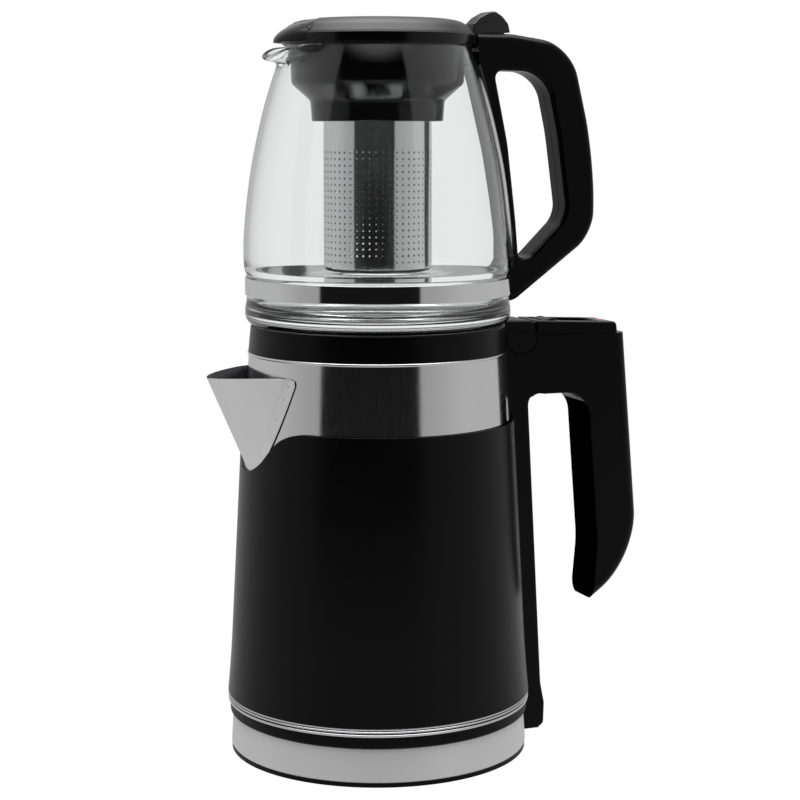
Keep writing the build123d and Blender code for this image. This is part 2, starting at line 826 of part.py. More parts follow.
def foot_screw(gap):
    """Screw that holds the spine's foot to the kettle's floor rim, or its way when gap is added."""
    z = (deck_top + floor_rim_top) / 2
    head_end = foot_screw_x + screw_head_thick
    if gap > 0:
        head_end = spine_foot_x + 2 * foot_screw_sink
    shank = rod_x(screw_radius + gap, floor_rim_inner + thread_room - gap, foot_screw_x, z)
    return shank + rod_x(screw_head_radius + gap, foot_screw_x, head_end, z)


def tongue_screw(gap):
    """Screw under the cap that holds the bridge's tongue down on the spine."""
    seat = handle_top - screw_head_thick - fit
    shank = post(screw_radius + gap, tongue_screw_x, 0, seat - tongue_screw_length, seat)
    return shank + post(screw_radius + 1 + gap, tongue_screw_x, 0, seat, seat + screw_head_thick + gap)


def loom(gap):
    """Wires from the thermostat out through the wall, up the spine and into the bridge."""
    start_x = control_size[0] / 3
    control_low = vessel_bottom - control_size[2]
    low, high = control_low - loom_drop, handle_top - bridge_loom_drop
    corners = [
        (start_x, control_low),
        (start_x, low),
        (spine_back(low) - loom_inset, low),
        (spine_back(jacket_top) - loom_inset, jacket_top),
        (spine_top_x - loom_inset, high),
        (switch_middle, high),
        (switch_middle, handle_top - switch_block[2]),
    ]
    path = Plane.XZ * FilletPolyline(*corners, radius=loom_bends)
    return sweep(Plane(path @ 0, z_dir=path % 0) * Circle(loom_radius + gap), path=path)


def make_handle_body():
    heel, tip = handle_point(grip_heel), handle_point(grip_tip)
    slope = (heel[1] - tip[1]) / (heel[0] - tip[0])
    below = (seam_x, tip[1] - (tip[0] - seam_x) * slope)
    blank = side_plate([(seam_x, handle_top), (grip_top_x, handle_top), heel, below],
                       [0, grip_top_bend, grip_bends[0], 0], handle_half)
    outer = side_edges(blank, handle_half).filter_by(lambda e: e.center().X > seam_x + grip_round)
    outer = outer.filter_by(lambda e: e.center().Z < handle_top - grip_top_bend)
    blank = fillet(outer, grip_round)
    gap = [
        (spine_top_x, gap_top),
        handle_point(grip_inner_top),
        handle_point(grip_belly),
        tip,
        (tip[0], 0),
        (spine_top_x, 0),
    ]
    blank -= side_plate(gap, [0, grip_bends[2], grip_bends[1], 0, 0, 0], handle_half + cut)
    blank -= cover_plate(fit)
    blank += tongue(0)
    return blank - switch_room() - loom(fit) - tongue_screw(fit)


def cover_plate(gap):
    """Flat plate let into the inner face of the grip, or its pocket when gap is added."""
    top, belly = handle_point(grip_inner_top), handle_point(grip_belly)
    lean = (belly[0] - top[0]) / (top[1] - belly[1])
    high, low = handle_top - cover_span[0] + gap, handle_top - cover_span[1] - gap
    high_x, low_x = [top[0] + lean * (top[1] - z) for z in (high, low)]
    proud = cover_inset - (cover_thick if gap else 0)
    corners = [
        (high_x + proud, high),
        (high_x + cover_thick + gap, high),
        (low_x + cover_thick + gap, low),
        (low_x + proud, low),
    ]
    return side_plate(corners, [0, 0, 0, 0], cover_half + gap)


def cap_height(x):
    slope = (cap_high - cap_low) / (cap_end_x - cap_start_x)
    return handle_top + cap_high - slope * (x - cap_start_x)


def make_cap():
    corners = [
        (cap_start_x, handle_top),
        (cap_start_x, handle_top + cap_high),
        (cap_end_x, handle_top + cap_low),
        (cap_end_x + cap_bevel / 2, handle_top),
    ]
    blank = side_plate(corners, [0, cap_bend, cap_bend, 0], cap_half)
    top = side_edges(blank, cap_half).filter_by(lambda e: e.center().Z > handle_top + cap_low / 2)
    blank = chamfer(top.filter_by(lambda e: e.center().X > cap_start_x + 2 * cap_bend), cap_bevel)
    room, half = frame_wall + fit, switch_half + frame_wall + fit
    above = handle_top + cap_high + cut
    opening = block((switch_x[0] - room, switch_x[1] + room), (-half, half), (handle_top - cut, above))
    return blank - opening - post(lens_radius + fit, lens_x, 0, handle_top - cut, above)


def make_switch_frame():
    """Open tray in the cap that carries the rocker's pin."""
    start, end = switch_x
    half, low = switch_half + frame_wall, handle_top + fit
    frame = block((start - frame_wall, end + frame_wall), (-half, half), (low, cap_height(end) - run))
    inside = (low + frame_wall / 2, handle_top + cap_high + cut)
    frame -= block(switch_x, (-switch_half, switch_half), inside)
    return frame - rod_y(rocker_pin_radius + fit, switch_middle, rocker_pivot_z, half + cut)


def make_switch_pin():
    return rod_y(rocker_pin_radius, switch_middle, rocker_pivot_z, switch_half + frame_wall)


def make_rocker():
    """Rocker with its far end pressed down: a shallow V seen from the side."""
    start, end = switch_x[0] + rocker_gap, switch_x[1] - rocker_gap
    top = rocker_pivot_z + rocker_thick / 2 - run
    edge = rocker_thick / 2 - run
    corners = [
        (start, top + rocker_lift - run),
        (start + 2 * edge, top + rocker_lift),
        (switch_middle, top),
        (end, top - rocker_dip),
        (end - run, top - rocker_dip - edge),
        (switch_middle, top - rocker_thick),
        (start + run, top - run),
    ]
    rocker = side_plate(corners, rocker_bends, switch_half - run)
    return rocker - rod_y(rocker_pin_radius + pin_play, switch_middle, rocker_pivot_z, switch_half)


def switch_room():
    """Pocket in the bridge under the cap for the switch contacts."""
    x, y, height = switch_block
    return block((switch_middle - x / 2 - fit, switch_middle + x / 2 + fit), (-y / 2 - fit, y / 2 + fit),
                 (handle_top - height - fit, handle_top + cut))


def make_switch_contacts():
    x, y, height = switch_block
    across = (switch_middle - x / 2, switch_middle + x / 2)
    return block(across, (-y / 2, y / 2), (handle_top - height, handle_top))


def make_lens():
    return post(lens_radius, lens_x, 0, handle_top + fit, cap_height(lens_x) - fit)


def make_handle_screws():
    return Compound([foot_screw(0), tongue_screw(0)])


# ---- glass teapot ----

glass_bottom = lid_ring_top
glass_rim = glass_bottom + glass_height
band_low = glass_bottom + band_rise
band_top = band_low + band_width
glass_foot_radius = lid_ring_outer(lid_ring_top) - glass_foot_inset
glass_belly_radius = glass_foot_radius + glass_bulge
band_seat_radius = glass_belly_radius - band_sink
strap_radius = band_seat_radius + fit / 2 + band_thick
lid_radius = glass_rim_radius + lid_overlap


def glass_line():
    """The glass's outside from its belly up to the rim, as (radius, height) points."""
    start = glass_bottom + belly_rise
    belly = start + belly_rise - band_rise
    line = [(glass_belly_radius, start + band_shoulder / 2), (glass_belly_radius, belly)]
    for way_in, way_up in glass_side:
        radius = glass_belly_radius - way_in * (glass_belly_radius - glass_rim_radius)
        line.append((radius, belly + way_up * (glass_rim - belly)))
    return line + [(glass_rim_radius, glass_rim)]


def glass_solid(foot, side):
    """Solid turned from straight foot points and a smooth side up to the rim."""
    end_slope = (side[-1][0] - side[-2][0], side[-1][1] - side[-2][1])
    curve = Spline(*side, tangents=[(0, 1), end_slope])
    lines = [Line(a, b) for a, b in zip(foot, foot[1:] + side[:1])]
    top = (0, side[-1][1])
    section = make_face(Curve() + lines + [curve, Line(side[-1], top), Line(top, foot[0])])
    return revolve(Plane.XZ * section, Axis.Z)


def glass_outside():
    foot_edge = glass_bulge / 3
    bulge = glass_belly_radius - band_sink / 2
    foot = [
        (0, glass_bottom),
        (glass_foot_radius, glass_bottom),
        (bulge - foot_edge, glass_bottom + foot_edge),
        (bulge, glass_bottom + glass_bulge),
        (bulge, band_low - band_shoulder),
        (band_seat_radius, band_low - band_shoulder / 2),
        (band_seat_radius, band_top + band_shoulder / 2),
    ]
    return glass_solid(foot, glass_line())


def glass_inside():
    inner_floor = glass_bottom + glass_floor
    seat = band_seat_radius - glass_wall
    foot = [
        (0, inner_floor),
        (glass_foot_radius - 2 * glass_wall, inner_floor),
        (glass_foot_radius - glass_wall / 2, inner_floor + glass_wall),
        (seat, band_low - band_shoulder / 2),
        (seat, band_top + band_shoulder / 2),
    ]
    side = [(r - glass_wall, z) for r, z in glass_line()[:-1]]
    return glass_solid(foot, side + [(glass_rim_radius - glass_rim_wall, glass_rim)])


def make_glass():
    hollow = glass_inside()
    return (glass_outside() + (pouring_lip(0) - hollow)) - hollow - pouring_lip(lip_wall)


def pouring_lip(shrink):
    """Trough that leans out of the rim: the solid, or the hollow when shrunk by the wall."""
    above = cut if shrink else 0
    root = lip_section(-glass_rim_radius + lip_root, lip_half - shrink,
                       glass_rim - lip_depth + shrink, glass_rim + 2 * above)
    tip = lip_section(-glass_rim_radius - lip_reach - 2 * above, lip_tip_half - shrink,
                      glass_rim - lip_tip_height[0] + shrink, glass_rim - lip_tip_height[1] + 4 * above)
    return loft([root, tip])


def lip_section(x, half, low, high):
    plane = Plane((x, 0, 0), x_dir=(0, 1, 0), z_dir=(1, 0, 0))
    corners = [(-half, high), (half, high), (half, low), (-half, low)]
    bend = 0.6 * min(half, (high - low) / 2)
    outline = FilletPolyline(*corners, radius=[fit, fit, bend, bend], close=True)
    return (plane * make_face(outline)).face()


def make_band():
    return ring(strap_radius - band_thick, strap_radius, band_low, band_top)


def make_neck_pad():
    """Soft pad between the glass neck and the top of the handle."""
    top, low = glass_rim - pad_drop[0], glass_rim - pad_drop[1]
    pad = block((glass_rim_radius - lip_root, lid_radius + arm_barrel), (-pad_half, pad_half), (low, top))
    return pad - glass_outside() - pot_handle_blank()


# ---- teapot handle ----

lid_low = glass_rim + lid_gap
pot_handle_top = glass_rim + pot_handle_rise
pot_hinge_x = lid_radius + pot_hinge_reach
pot_hinge_z = glass_rim + pot_hinge_rise
pot_back_x = glass_belly_radius + pot_reach


def by_rim(place):
    """A point given as (out from the belly, below the glass rim)."""
    return glass_belly_radius + place[0], glass_rim - place[1]


def by_band(place):
    """A point given as (out from the belly, above the band)."""
    return glass_belly_radius + place[0], band_top + place[1]


def pot_handle_outside():
    inside = glass_rim_radius - glass_bulge
    heel_z = band_low - pot_heel[1]
    corners = [
        (inside, pot_handle_top),
        (pot_hinge_x + pot_brow[0], pot_handle_top - pot_brow[1]),
        (pot_back_x - pot_shoulder[0], pot_handle_top - pot_shoulder[1]),
        (pot_back_x, glass_rim - pot_back[0]),
        (pot_back_x, band_top + pot_back[1]),
        (glass_belly_radius + pot_heel[0], heel_z),
        (inside, heel_z),
    ]
    blank = side_plate(corners, [0, *pot_bends, 0], pot_handle_half)
    edges = side_edges(blank, pot_handle_half).filter_by(lambda e: e.center().X > inside + cut)
    return fillet(edges, pot_handle_round)


def pot_handle_front():
    """All that lies on the glass's side of the handle."""
    strap_x = strap_radius + 3 * fit
    top_x, above, below = glass_rim_radius + pot_front_top[0], pot_handle_top + cut, band_low - pot_back[1]
    corners = [
        (strap_x, below),
        (strap_x, band_top - run),
        *[by_band(place) for place in pot_front_low],
        *[(radius + pot_front_gap, z) for radius, z in glass_line()[2:-1]],
        (top_x, glass_rim - pot_front_top[1]),
        (top_x, above),
        (0, above),
        (0, below),
    ]
    return side_plate(corners, [0, *pot_front_bends, 0, 0, 0], pot_handle_half + cut)


def finger_hole():
    middle_radius, middle_z = glass_line()[3]
    corners = [
        (glass_rim_radius + pot_hole_top[0], glass_rim - pot_hole_top[1]),
        *[by_rim(place) for place in pot_hole_back],
        *[by_band(place) for place in pot_hole_low],
        (middle_radius + pot_hole_front, middle_z),
    ]
    return side_plate(corners, pot_hole_bends, pot_handle_half + cut)


def pot_handle_blank():
    """The teapot's handle with its finger hole, both halves in one."""
    return pot_handle_outside() - pot_handle_front() - finger_hole()


def band_stud(gap):
    """Stud on the strap with its nut, held between the handle's halves."""
    z = (band_low + band_top) / 2
    start = strap_radius
    end = start + stud_length
    nut_end = end - nut_inset
    stud = rod_x(screw_radius + gap, start, end + gap, z)
    return stud + rod_x(nut_radius + gap, nut_end - nut_thick - gap, nut_end + gap, z)


def lid_slot():
    """Room in the handle's top for the lid's arm, its barrel, the pin and the thumb tab's swing."""
    half, x, z = arm_half + run, pot_hinge_x, pot_hinge_z
    above = pot_handle_top + cut
    slot = block((glass_rim_radius - lip_root, x), (-half, half), (z - arm_barrel + cut, above))
    slot += rod_y(arm_barrel + run, x, z, half)
    swing = hypot(*tab_back) + swing_room
    slot += rod_y(swing, x, z, half) & block((x - cut, x + swing), (-half, half), (z - cut, above + swing))
    slot += block((x - cut, x + 2 * arm_barrel + cut), (-half, half), (z - arm_barrel - cut, above))
    return slot + rod_y(hinge_pin_radius + fit / 2, x, z, pot_handle_half - pin_inset)


def pot_handle_screws(gap):
    """The two screws that join the halves, driven from the right side."""
    screws = []
    high = (pot_hinge_x + pot_brow[0] + pot_screw_high[0], glass_rim - pot_screw_high[1])
    for x, z in (high, by_band(pot_screw_low)):
        end, start = pot_screw_length / 2, -pot_screw_length / 2 + cut
        shank = disc_y(screw_radius + gap, x, z, start - gap, end)
        head_end = end + screw_head_thick if gap == 0 else pot_handle_half + cut
        screws.append(shank + disc_y(pot_screw_head + gap, x, z, end, head_end))
    return screws


def make_pot_handle(side):
    across = (0, pot_handle_half + cut) if side > 0 else (-pot_handle_half - cut, 0)
    half = block((0, pot_back_x + cut), across, (glass_bottom, pot_handle_top + cut))
    whole = (pot_handle_blank() & half) - lid_slot() - band_stud(fit)
    return whole - pot_handle_screws(fit)


def make_pot_pin():
    return rod_y(hinge_pin_radius, pot_hinge_x, pot_hinge_z, pot_handle_half - pin_inset - fit)


# ---- teapot lid ----

lid_shoulder = lid_low + lid_side
lid_high = lid_low + lid_height
beak_tip = lid_radius + beak_reach
beak_slope = (lid_height - beak_start[1] - beak_edge) / (beak_reach + beak_start[0])


def lid_outline():
    bevel = [(lid_radius - inward, lid_shoulder + up) for inward, up in lid_bevel]
    return [
        (lid_radius, lid_low),
        (lid_radius, lid_shoulder),
        *bevel,
        (lid_radius - lid_flat_inset, lid_high),
        (0, lid_high + lid_crown),
    ]


def make_lid_shell():
    roof = lid_high - lid_wall
    inner = lid_radius - lid_wall
    inside = [
        (0, roof),
        (inner - lid_bevel[1][0], roof),
        (inner, lid_shoulder - lid_wall),
        (inner, lid_low),
    ]
    return solid_of(lid_outline() + inside)


def make_beak():
    """Front of the lid that reaches over the pouring lip."""
    root = -lid_radius + lid_wall
    side_x = -beak_tip + beak_shoulder[0]
    plan = Polyline((root, beak_half), (side_x, beak_shoulder[1]), (-beak_tip, 0),
                    (side_x, -beak_shoulder[1]), (root, -beak_half), close=True)
    return extrude(Plane((0, 0, lid_low)) * make_face(plan), lid_side)


def beak_facet(length, low_rise, high_rise):
    """Plate between two heights over the beak's sloping face."""
    start = (-lid_radius + beak_start[0], lid_high - beak_start[1])
    end = (start[0] - length, start[1] - beak_slope * length)
    corners = [
        (start[0], start[1] + low_rise),
        (end[0], end[1] + low_rise),
        (end[0], end[1] + high_rise),
        (start[0], start[1] + high_rise),
    ]
    return side_plate(corners, [0, 0, 0, 0], lid_radius)


def make_pot_lid():
    arm = block((lid_radius - lid_wall, pot_hinge_x), (-arm_half, arm_half), (lid_low, pot_handle_top))
    arm += rod_y(arm_barrel, pot_hinge_x, pot_hinge_z, arm_half)
    cover = beak_facet(beak_reach + beak_start[0], -lid_wall, 0) & solid_of(lid_outline() + [(0, lid_low)])
    lid = (make_lid_shell() + make_beak() + arm + cover) - beak_facet(lid_radius, 0, lid_height)
    return lid - rod_y(hinge_pin_radius + pin_play, pot_hinge_x, pot_hinge_z, arm_half + cut)


def make_lid_plug():
    """Ring under the lid that centres it in the infuser's mouth."""
    outer = holder_radius - holder_wall - inner_plug_gap
    low, high = [lid_low + rise for rise in inner_plug_flange]
    plug = ring(outer - inner_plug_wall, outer, flange_low - inner_plug_depth, high)
    return plug + ring(outer - inner_plug_wall / 2, lid_radius - lid_wall - fit, low, high)


def make_tab():
    """Thumb tab that stands on the lid's arm."""
    corners = [(pot_hinge_x + x, pot_hinge_z + z) for x, z in (*tab_front, tab_back, *tab_foot)]
    return side_plate(corners, tab_bends, arm_half)


# ---- infuser ----

flange_low = glass_rim + rim_lift
flange_top = flange_low + holder_flange_thick
holder_radius = glass_rim_radius - glass_rim_wall - holder_play
holder_low = flange_low - holder_end[1]
basket_bottom = holder_low - basket_depth


def make_holder():
    """Funnel that hangs by its flange from the glass rim and holds the basket."""
    shoulder = (holder_radius - holder_shoulder[0], flange_low - holder_shoulder[1])
    neck = (basket_radius + holder_neck[0], flange_low - holder_neck[1])
    end_radius = basket_radius + holder_end[0]
    wall, step = holder_wall, holder_wall / 2
    outline = [
        (lid_radius - holder_flange_inset, flange_low),
        (lid_radius - holder_flange_inset, flange_top),
        (holder_radius - wall, flange_top),
        (shoulder[0] - wall, shoulder[1] + step),
        (neck[0] - wall, neck[1] + step),
        (end_radius - wall, holder_low + wall),
        (basket_radius + fit, holder_low + wall),
        (basket_radius + fit, holder_low),
        (end_radius, holder_low),
        neck,
        shoulder,
        (holder_radius, flange_low),
    ]
    return solid_of(outline)


def basket_holes():
    """Drill bars for the sieve's holes, each through both walls."""
    bars = []
    low, high = basket_bottom + hole_margin[0], holder_low - hole_margin[1]
    for row in range(hole_rows):
        z = low + (high - low) * row / (hole_rows - 1)
        for column in range(hole_columns // 2):
            bar = Cylinder(hole_radius, 2 * (basket_radius + cut))
            bars.append(Pos(0, 0, z) * Rot(0, 90, 360 * column / hole_columns) * bar)
    return bars


def make_basket():
    low, high = basket_bottom + basket_floor_thick, holder_low + holder_wall
    top = high + basket_wall
    tube = ring(basket_radius - basket_wall, basket_radius, low, top)
    tube += ring(basket_radius - basket_wall, basket_radius + basket_lip, high, top)
    return tube - basket_holes()


def make_basket_floor():
    """Cap that closes the basket from below, its rim inside the sheet."""
    top = basket_bottom + basket_floor_thick
    outer = basket_radius - basket_wall - fit
    cap = ring(0, basket_radius, basket_bottom, top)
    return cap + ring(outer - basket_wall, outer, basket_bottom, top + basket_floor_thick)


# ---- all the nodes ----

def base_nodes():
    return {
        "base_floor": make_base_floor(),
        "rubber_feet": make_feet(),
        "base_skirt": make_base_skirt(),
        "base_deck": make_base_deck(),
        "base_connector": make_connector(),
        "base_contacts": make_base_contacts(),
        "base_screws": make_base_screws(),
        "cord_gland": make_gland(),
        "kettle_socket": make_socket(),
        "socket_contacts": make_socket_contacts(),
    }


def kettle_nodes():
    return {
        "kettle_floor": make_kettle_floor(),
        "trim_ring": make_trim_ring(),
        "jacket": make_jacket(),
        "inner_vessel": make_vessel(),
        "heater_plate": make_heater_plate(),
        "heating_element": make_element(),
        "thermostat_control": make_control(),
        "spout": make_spout(),
        "kettle_lid": make_kettle_lid(),
        "lid_pan": make_lid_pan(),
        "lid_seal": make_lid_seal(),
        "kettle_lid_pin": make_kettle_lid_pin(),
    }


def handle_nodes():
    return {
        "spine": make_spine(),
        "handle_body": make_handle_body(),
        "grip_cover": cover_plate(0),
        "handle_cap": make_cap(),
        "switch_frame": make_switch_frame(),
        "switch_pin": make_switch_pin(),
        "rocker_switch": make_rocker(),
        "switch_contacts": make_switch_contacts(),
        "indicator_lens": make_lens(),
        "handle_screws": make_handle_screws(),
        "handle_wiring": loom(0),
    }


def teapot_nodes():
    return {
        "glass_body": make_glass(),
        "steel_band": make_band(),
        "band_stud": band_stud(0),
        "neck_pad": make_neck_pad(),
        "teapot_handle_left": make_pot_handle(-1),
        "teapot_handle_right": make_pot_handle(1),
        "teapot_handle_screws": Compound(pot_handle_screws(0)),
        "teapot_lid_pin": make_pot_pin(),
        "teapot_lid": make_pot_lid(),
        "lid_plug": make_lid_plug(),
        "lid_tab": make_tab(),
        "infuser_holder": make_holder(),
        "infuser_basket": make_basket(),
        "infuser_floor": make_basket_floor(),
    }


os.makedirs("parts", exist_ok=True)
for nodes in (base_nodes(), kettle_nodes(), handle_nodes(), teapot_nodes()):
    for node, shape in nodes.items():
        keep(node, shape)
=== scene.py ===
from math import atan2, cos, pi, radians, sin, sqrt, tan

import bmesh
import bpy
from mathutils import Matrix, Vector


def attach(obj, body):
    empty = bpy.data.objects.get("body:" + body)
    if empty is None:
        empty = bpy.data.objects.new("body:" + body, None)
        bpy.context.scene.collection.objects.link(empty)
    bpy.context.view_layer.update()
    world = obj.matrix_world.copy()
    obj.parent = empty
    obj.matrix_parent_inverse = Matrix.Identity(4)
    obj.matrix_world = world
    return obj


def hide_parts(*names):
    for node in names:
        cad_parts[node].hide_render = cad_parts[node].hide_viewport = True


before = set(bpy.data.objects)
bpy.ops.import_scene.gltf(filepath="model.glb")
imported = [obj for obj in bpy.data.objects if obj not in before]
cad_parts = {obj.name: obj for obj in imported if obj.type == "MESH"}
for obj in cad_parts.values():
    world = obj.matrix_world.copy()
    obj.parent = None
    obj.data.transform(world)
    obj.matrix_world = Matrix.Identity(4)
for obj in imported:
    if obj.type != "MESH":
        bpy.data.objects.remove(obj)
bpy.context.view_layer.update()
mm = 0.001
print("frame loaded:", len(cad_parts), "nodes")

# the camera stands in front of the kettle, a little to the spout's side and above the lid
view = {"lens": 90.0, "sensor": 36.0, "place": (-0.3398, -0.9337, 0.3135), "turn": (82.17, 0.0, -20.634)}


def addCamera():
    bpy.ops.object.camera_add(location=view["place"], rotation=[radians(a) for a in view["turn"]])
    camera = bpy.context.object
    camera.data.lens = view["lens"]
    camera.data.sensor_width = view["sensor"]
    bpy.context.scene.camera = camera


addCamera()


# ways of working that several pieces share

def upright(across, height):
    return Vector((across * mm, 0, height * mm))


def sideways(across, height):
    return Vector((0, across * mm, height * mm))


def selectNothing(mesh):
    for group in (mesh.verts, mesh.edges, mesh.faces):
        for item in group:
            item.select_set(False)


def selectPoints():
    bpy.context.tool_settings.mesh_select_mode = (True, False, False)
    bpy.ops.mesh.select_all(action="SELECT")


def takeUp(piece):
    bpy.ops.object.select_all(action="DESELECT")
    piece.select_set(True)
    bpy.context.view_layer.objects.active = piece


def pick(kind, test):
    # selects the vertices, edges or faces of the piece in hand whose middle passes the test
    mesh = bmesh.from_edit_mesh(bpy.context.object.data)
    bpy.context.tool_settings.mesh_select_mode = (kind == "VERT", kind == "EDGE", kind == "FACE")
    selectNothing(mesh)
    items = {"VERT": mesh.verts, "EDGE": mesh.edges, "FACE": mesh.faces}[kind]
    for item in items:
        if kind == "VERT":
            middle = item.co
        elif kind == "EDGE":
            middle = (item.verts[0].co + item.verts[1].co) / 2
        else:
            middle = item.calc_center_median()
        if test(middle / mm):
            item.select_set(True)
    mesh.select_flush_mode()
    bmesh.update_edit_mesh(bpy.context.object.data)


def startPiece(name, first):
    # one vertex at the first corner, ready to be extruded
    bpy.ops.object.select_all(action="DESELECT")
    bpy.ops.mesh.primitive_plane_add(size=mm)
    piece = bpy.context.object
    piece.name = piece.data.name = name
    bpy.ops.object.mode_set(mode="EDIT")
    selectPoints()
    bpy.ops.mesh.merge(type="CENTER")
    bpy.ops.transform.translate(value=first)
    return piece


def drawLine(name, corners, place=upright):
    points = [place(a, b) for a, b in corners]
    piece = startPiece(name, points[0])
    for a, b in zip(points, points[1:]):
        bpy.ops.mesh.extrude_region_move(TRANSFORM_OT_translate={"value": b - a})
    return piece


def drawFace(name, corners, bends=(), place=upright, steps=6):
    # a closed outline filled with a face, its corners rounded to the given radii
    piece = drawLine(name, corners, place)
    bpy.ops.mesh.select_all(action="SELECT")
    bpy.ops.mesh.edge_face_add()
    points = [place(a, b) for a, b in corners]
    count = len(points)
    for k, bend in enumerate(bends):
        if bend == 0:
            continue
        before, here, after = points[k - 1], points[k], points[(k + 1) % count]
        turn = (here - before).angle(after - here)
        corner = here / mm
        pick("VERT", lambda spot: (spot - corner).length < 0.01)
        bpy.ops.mesh.bevel(offset=bend * mm * tan(turn / 2), segments=steps, affect="VERTICES")
    return piece


def spinRound(steps=160, closed=True):
    selectPoints()
    if closed:
        bpy.ops.mesh.delete(type="ONLY_FACE")
        bpy.ops.mesh.select_all(action="SELECT")
    bpy.ops.mesh.spin(steps=steps, angle=2 * pi, center=(0, 0, 0), axis=(0, 0, 1))
    tidyUp()


def tidyUp():
    selectPoints()
    bpy.ops.mesh.remove_doubles(threshold=1e-6)
    bpy.ops.mesh.normals_make_consistent(inside=False)


def editing(piece):
    takeUp(piece)
    bpy.ops.object.mode_set(mode="EDIT")
    tidyUp()


def turned(name, corners, bends=(), steps=160):
    # a closed section turned about the kettle's axis
    piece = drawFace(name, corners, bends)
    spinRound(steps)
    bpy.ops.object.mode_set(mode="OBJECT")
    return piece


def capped(name, corners, steps=160):
    # a line from the axis and back to it, turned into a solid
    piece = drawLine(name, corners)
    spinRound(steps, closed=False)
    bpy.ops.object.mode_set(mode="OBJECT")
    return piece


def plate(name, corners, bends, low, high, steps=6):
    # a side view drawn out across the object, from low to high along Y
    piece = drawFace(name, corners, bends, steps=steps)
    selectPoints()
    bpy.ops.transform.translate(value=(0, low * mm, 0))
    bpy.ops.mesh.extrude_region_move(TRANSFORM_OT_translate={"value": (0, (high - low) * mm, 0)})
    tidyUp()
    return piece


def bevelEdges(test, width, segments=3):
    pick("EDGE", test)
    bpy.ops.mesh.bevel(offset=width * mm, segments=segments, affect="EDGES")


def rod(name, radius, place, length, axis="Y", sides=48, edge=0.3):
    # a pin, screw or nut with its ends eased
    turn = {"X": (0, pi / 2, 0), "Y": (pi / 2, 0, 0), "Z": (0, 0, 0)}[axis]
    bpy.ops.object.select_all(action="DESELECT")
    bpy.ops.mesh.primitive_cylinder_add(vertices=sides, radius=radius * mm, depth=length * mm,
                                        location=[p * mm for p in place], rotation=turn)
    piece = bpy.context.object
    piece.name = piece.data.name = name
    bpy.ops.object.transform_apply(location=True, rotation=True, scale=True)
    if edge > 0:
        applyModifier(piece, "BEVEL", width=edge * mm, segments=2, limit_method="ANGLE")
    return piece


def box(name, place, size):
    bpy.ops.object.select_all(action="DESELECT")
    bpy.ops.mesh.primitive_cube_add(size=1, location=[p * mm for p in place])
    block = bpy.context.object
    block.name = block.data.name = name
    block.scale = [s * mm for s in size]
    bpy.ops.object.transform_apply(location=True, rotation=True, scale=True)
    return block


def lineGap(corners, spot):
    # how far a place in the side view lies from a line of corners
    here, best = Vector((spot.x, spot.z)), 1e9
    for a, b in zip(corners, corners[1:]):
        a, b = Vector(a), Vector(b)
        along = max(0.0, min(1.0, (here - a).dot(b - a) / (b - a).length_squared))
        best = min(best, (here - a - (b - a) * along).length)
    return best


def onSide(spot, half):
    return abs(abs(spot.y) - half) < 0.02


def applyModifier(piece, kind, **settings):
    modifier = piece.modifiers.new(kind.lower(), kind)
    for key, value in settings.items():
        setattr(modifier, key, value)
    takeUp(piece)
    bpy.ops.object.modifier_apply(modifier=modifier.name)


def cutWith(piece, tool, operation="DIFFERENCE"):
    applyModifier(piece, "BOOLEAN", operation=operation, object=tool, solver="EXACT")
    bpy.data.objects.remove(tool)


def joinInto(name, pieces):
    bpy.ops.object.select_all(action="DESELECT")
    for piece in pieces:
        piece.select_set(True)
    bpy.context.view_layer.objects.active = pieces[0]
    bpy.ops.object.join()
    pieces[0].name = pieces[0].data.name = name
    return pieces[0]


def copyOf(node, name):
    # a smooth copy of a node whose shape is already right
    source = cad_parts[node]
    piece = source.copy()
    piece.data = source.data.copy()
    piece.name = piece.data.name = name
    piece.parent = None
    for key in list(piece.keys()):
        if key.startswith("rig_"):
            del piece[key]
    bpy.context.scene.collection.objects.link(piece)
    takeUp(piece)
    bpy.ops.object.mode_set(mode="EDIT")
    bpy.ops.mesh.select_all(action="SELECT")
    bpy.ops.mesh.remove_doubles(threshold=1e-6)
    bpy.ops.object.mode_set(mode="OBJECT")
    return piece


def finishPiece(piece, body, finish, nodes=(), angle=35):
    if bpy.context.object and bpy.context.object.mode == "EDIT":
        bpy.ops.object.mode_set(mode="OBJECT")
    takeUp(piece)
    bpy.ops.object.shade_smooth_by_angle(angle=radians(angle))
    applyModifier(piece, "WEIGHTED_NORMAL", weight=60, keep_sharp=True)
    piece.data.materials.clear()
    piece.data.materials.append(finish)
    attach(piece, body)
    if nodes:
        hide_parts(*nodes)
    return piece


def dress(node, finish):
    # a finish for a node that stays as it is
    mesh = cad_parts[node].data
    mesh.materials.clear()
    mesh.materials.append(finish)


# finishes

def newFinish(name, colour, roughness, **sockets):
    finish = bpy.data.materials.new(name)
    finish.use_nodes = True
    shader = finish.node_tree.nodes["Principled BSDF"]
    shader.inputs["Base Color"].default_value = (*colour, 1)
    shader.inputs["Roughness"].default_value = roughness
    for key, value in sockets.items():
        shader.inputs[key.replace("_", " ")].default_value = value
    return finish, finish.node_tree, shader


def grain(tree, scale, stretch=(1, 1, 1), detail=2.0):
    # noise laid on the object itself, drawn out along one way where stretch is small
    place = tree.nodes.new("ShaderNodeTexCoord")
    mapping = tree.nodes.new("ShaderNodeMapping")
    mapping.inputs["Scale"].default_value = stretch
    noise = tree.nodes.new("ShaderNodeTexNoise")
    noise.inputs["Scale"].default_value = scale
    noise.inputs["Detail"].default_value = detail
    tree.links.new(place.outputs["Object"], mapping.inputs["Vector"])
    tree.links.new(mapping.outputs["Vector"], noise.inputs["Vector"])
    return noise.outputs["Fac"]


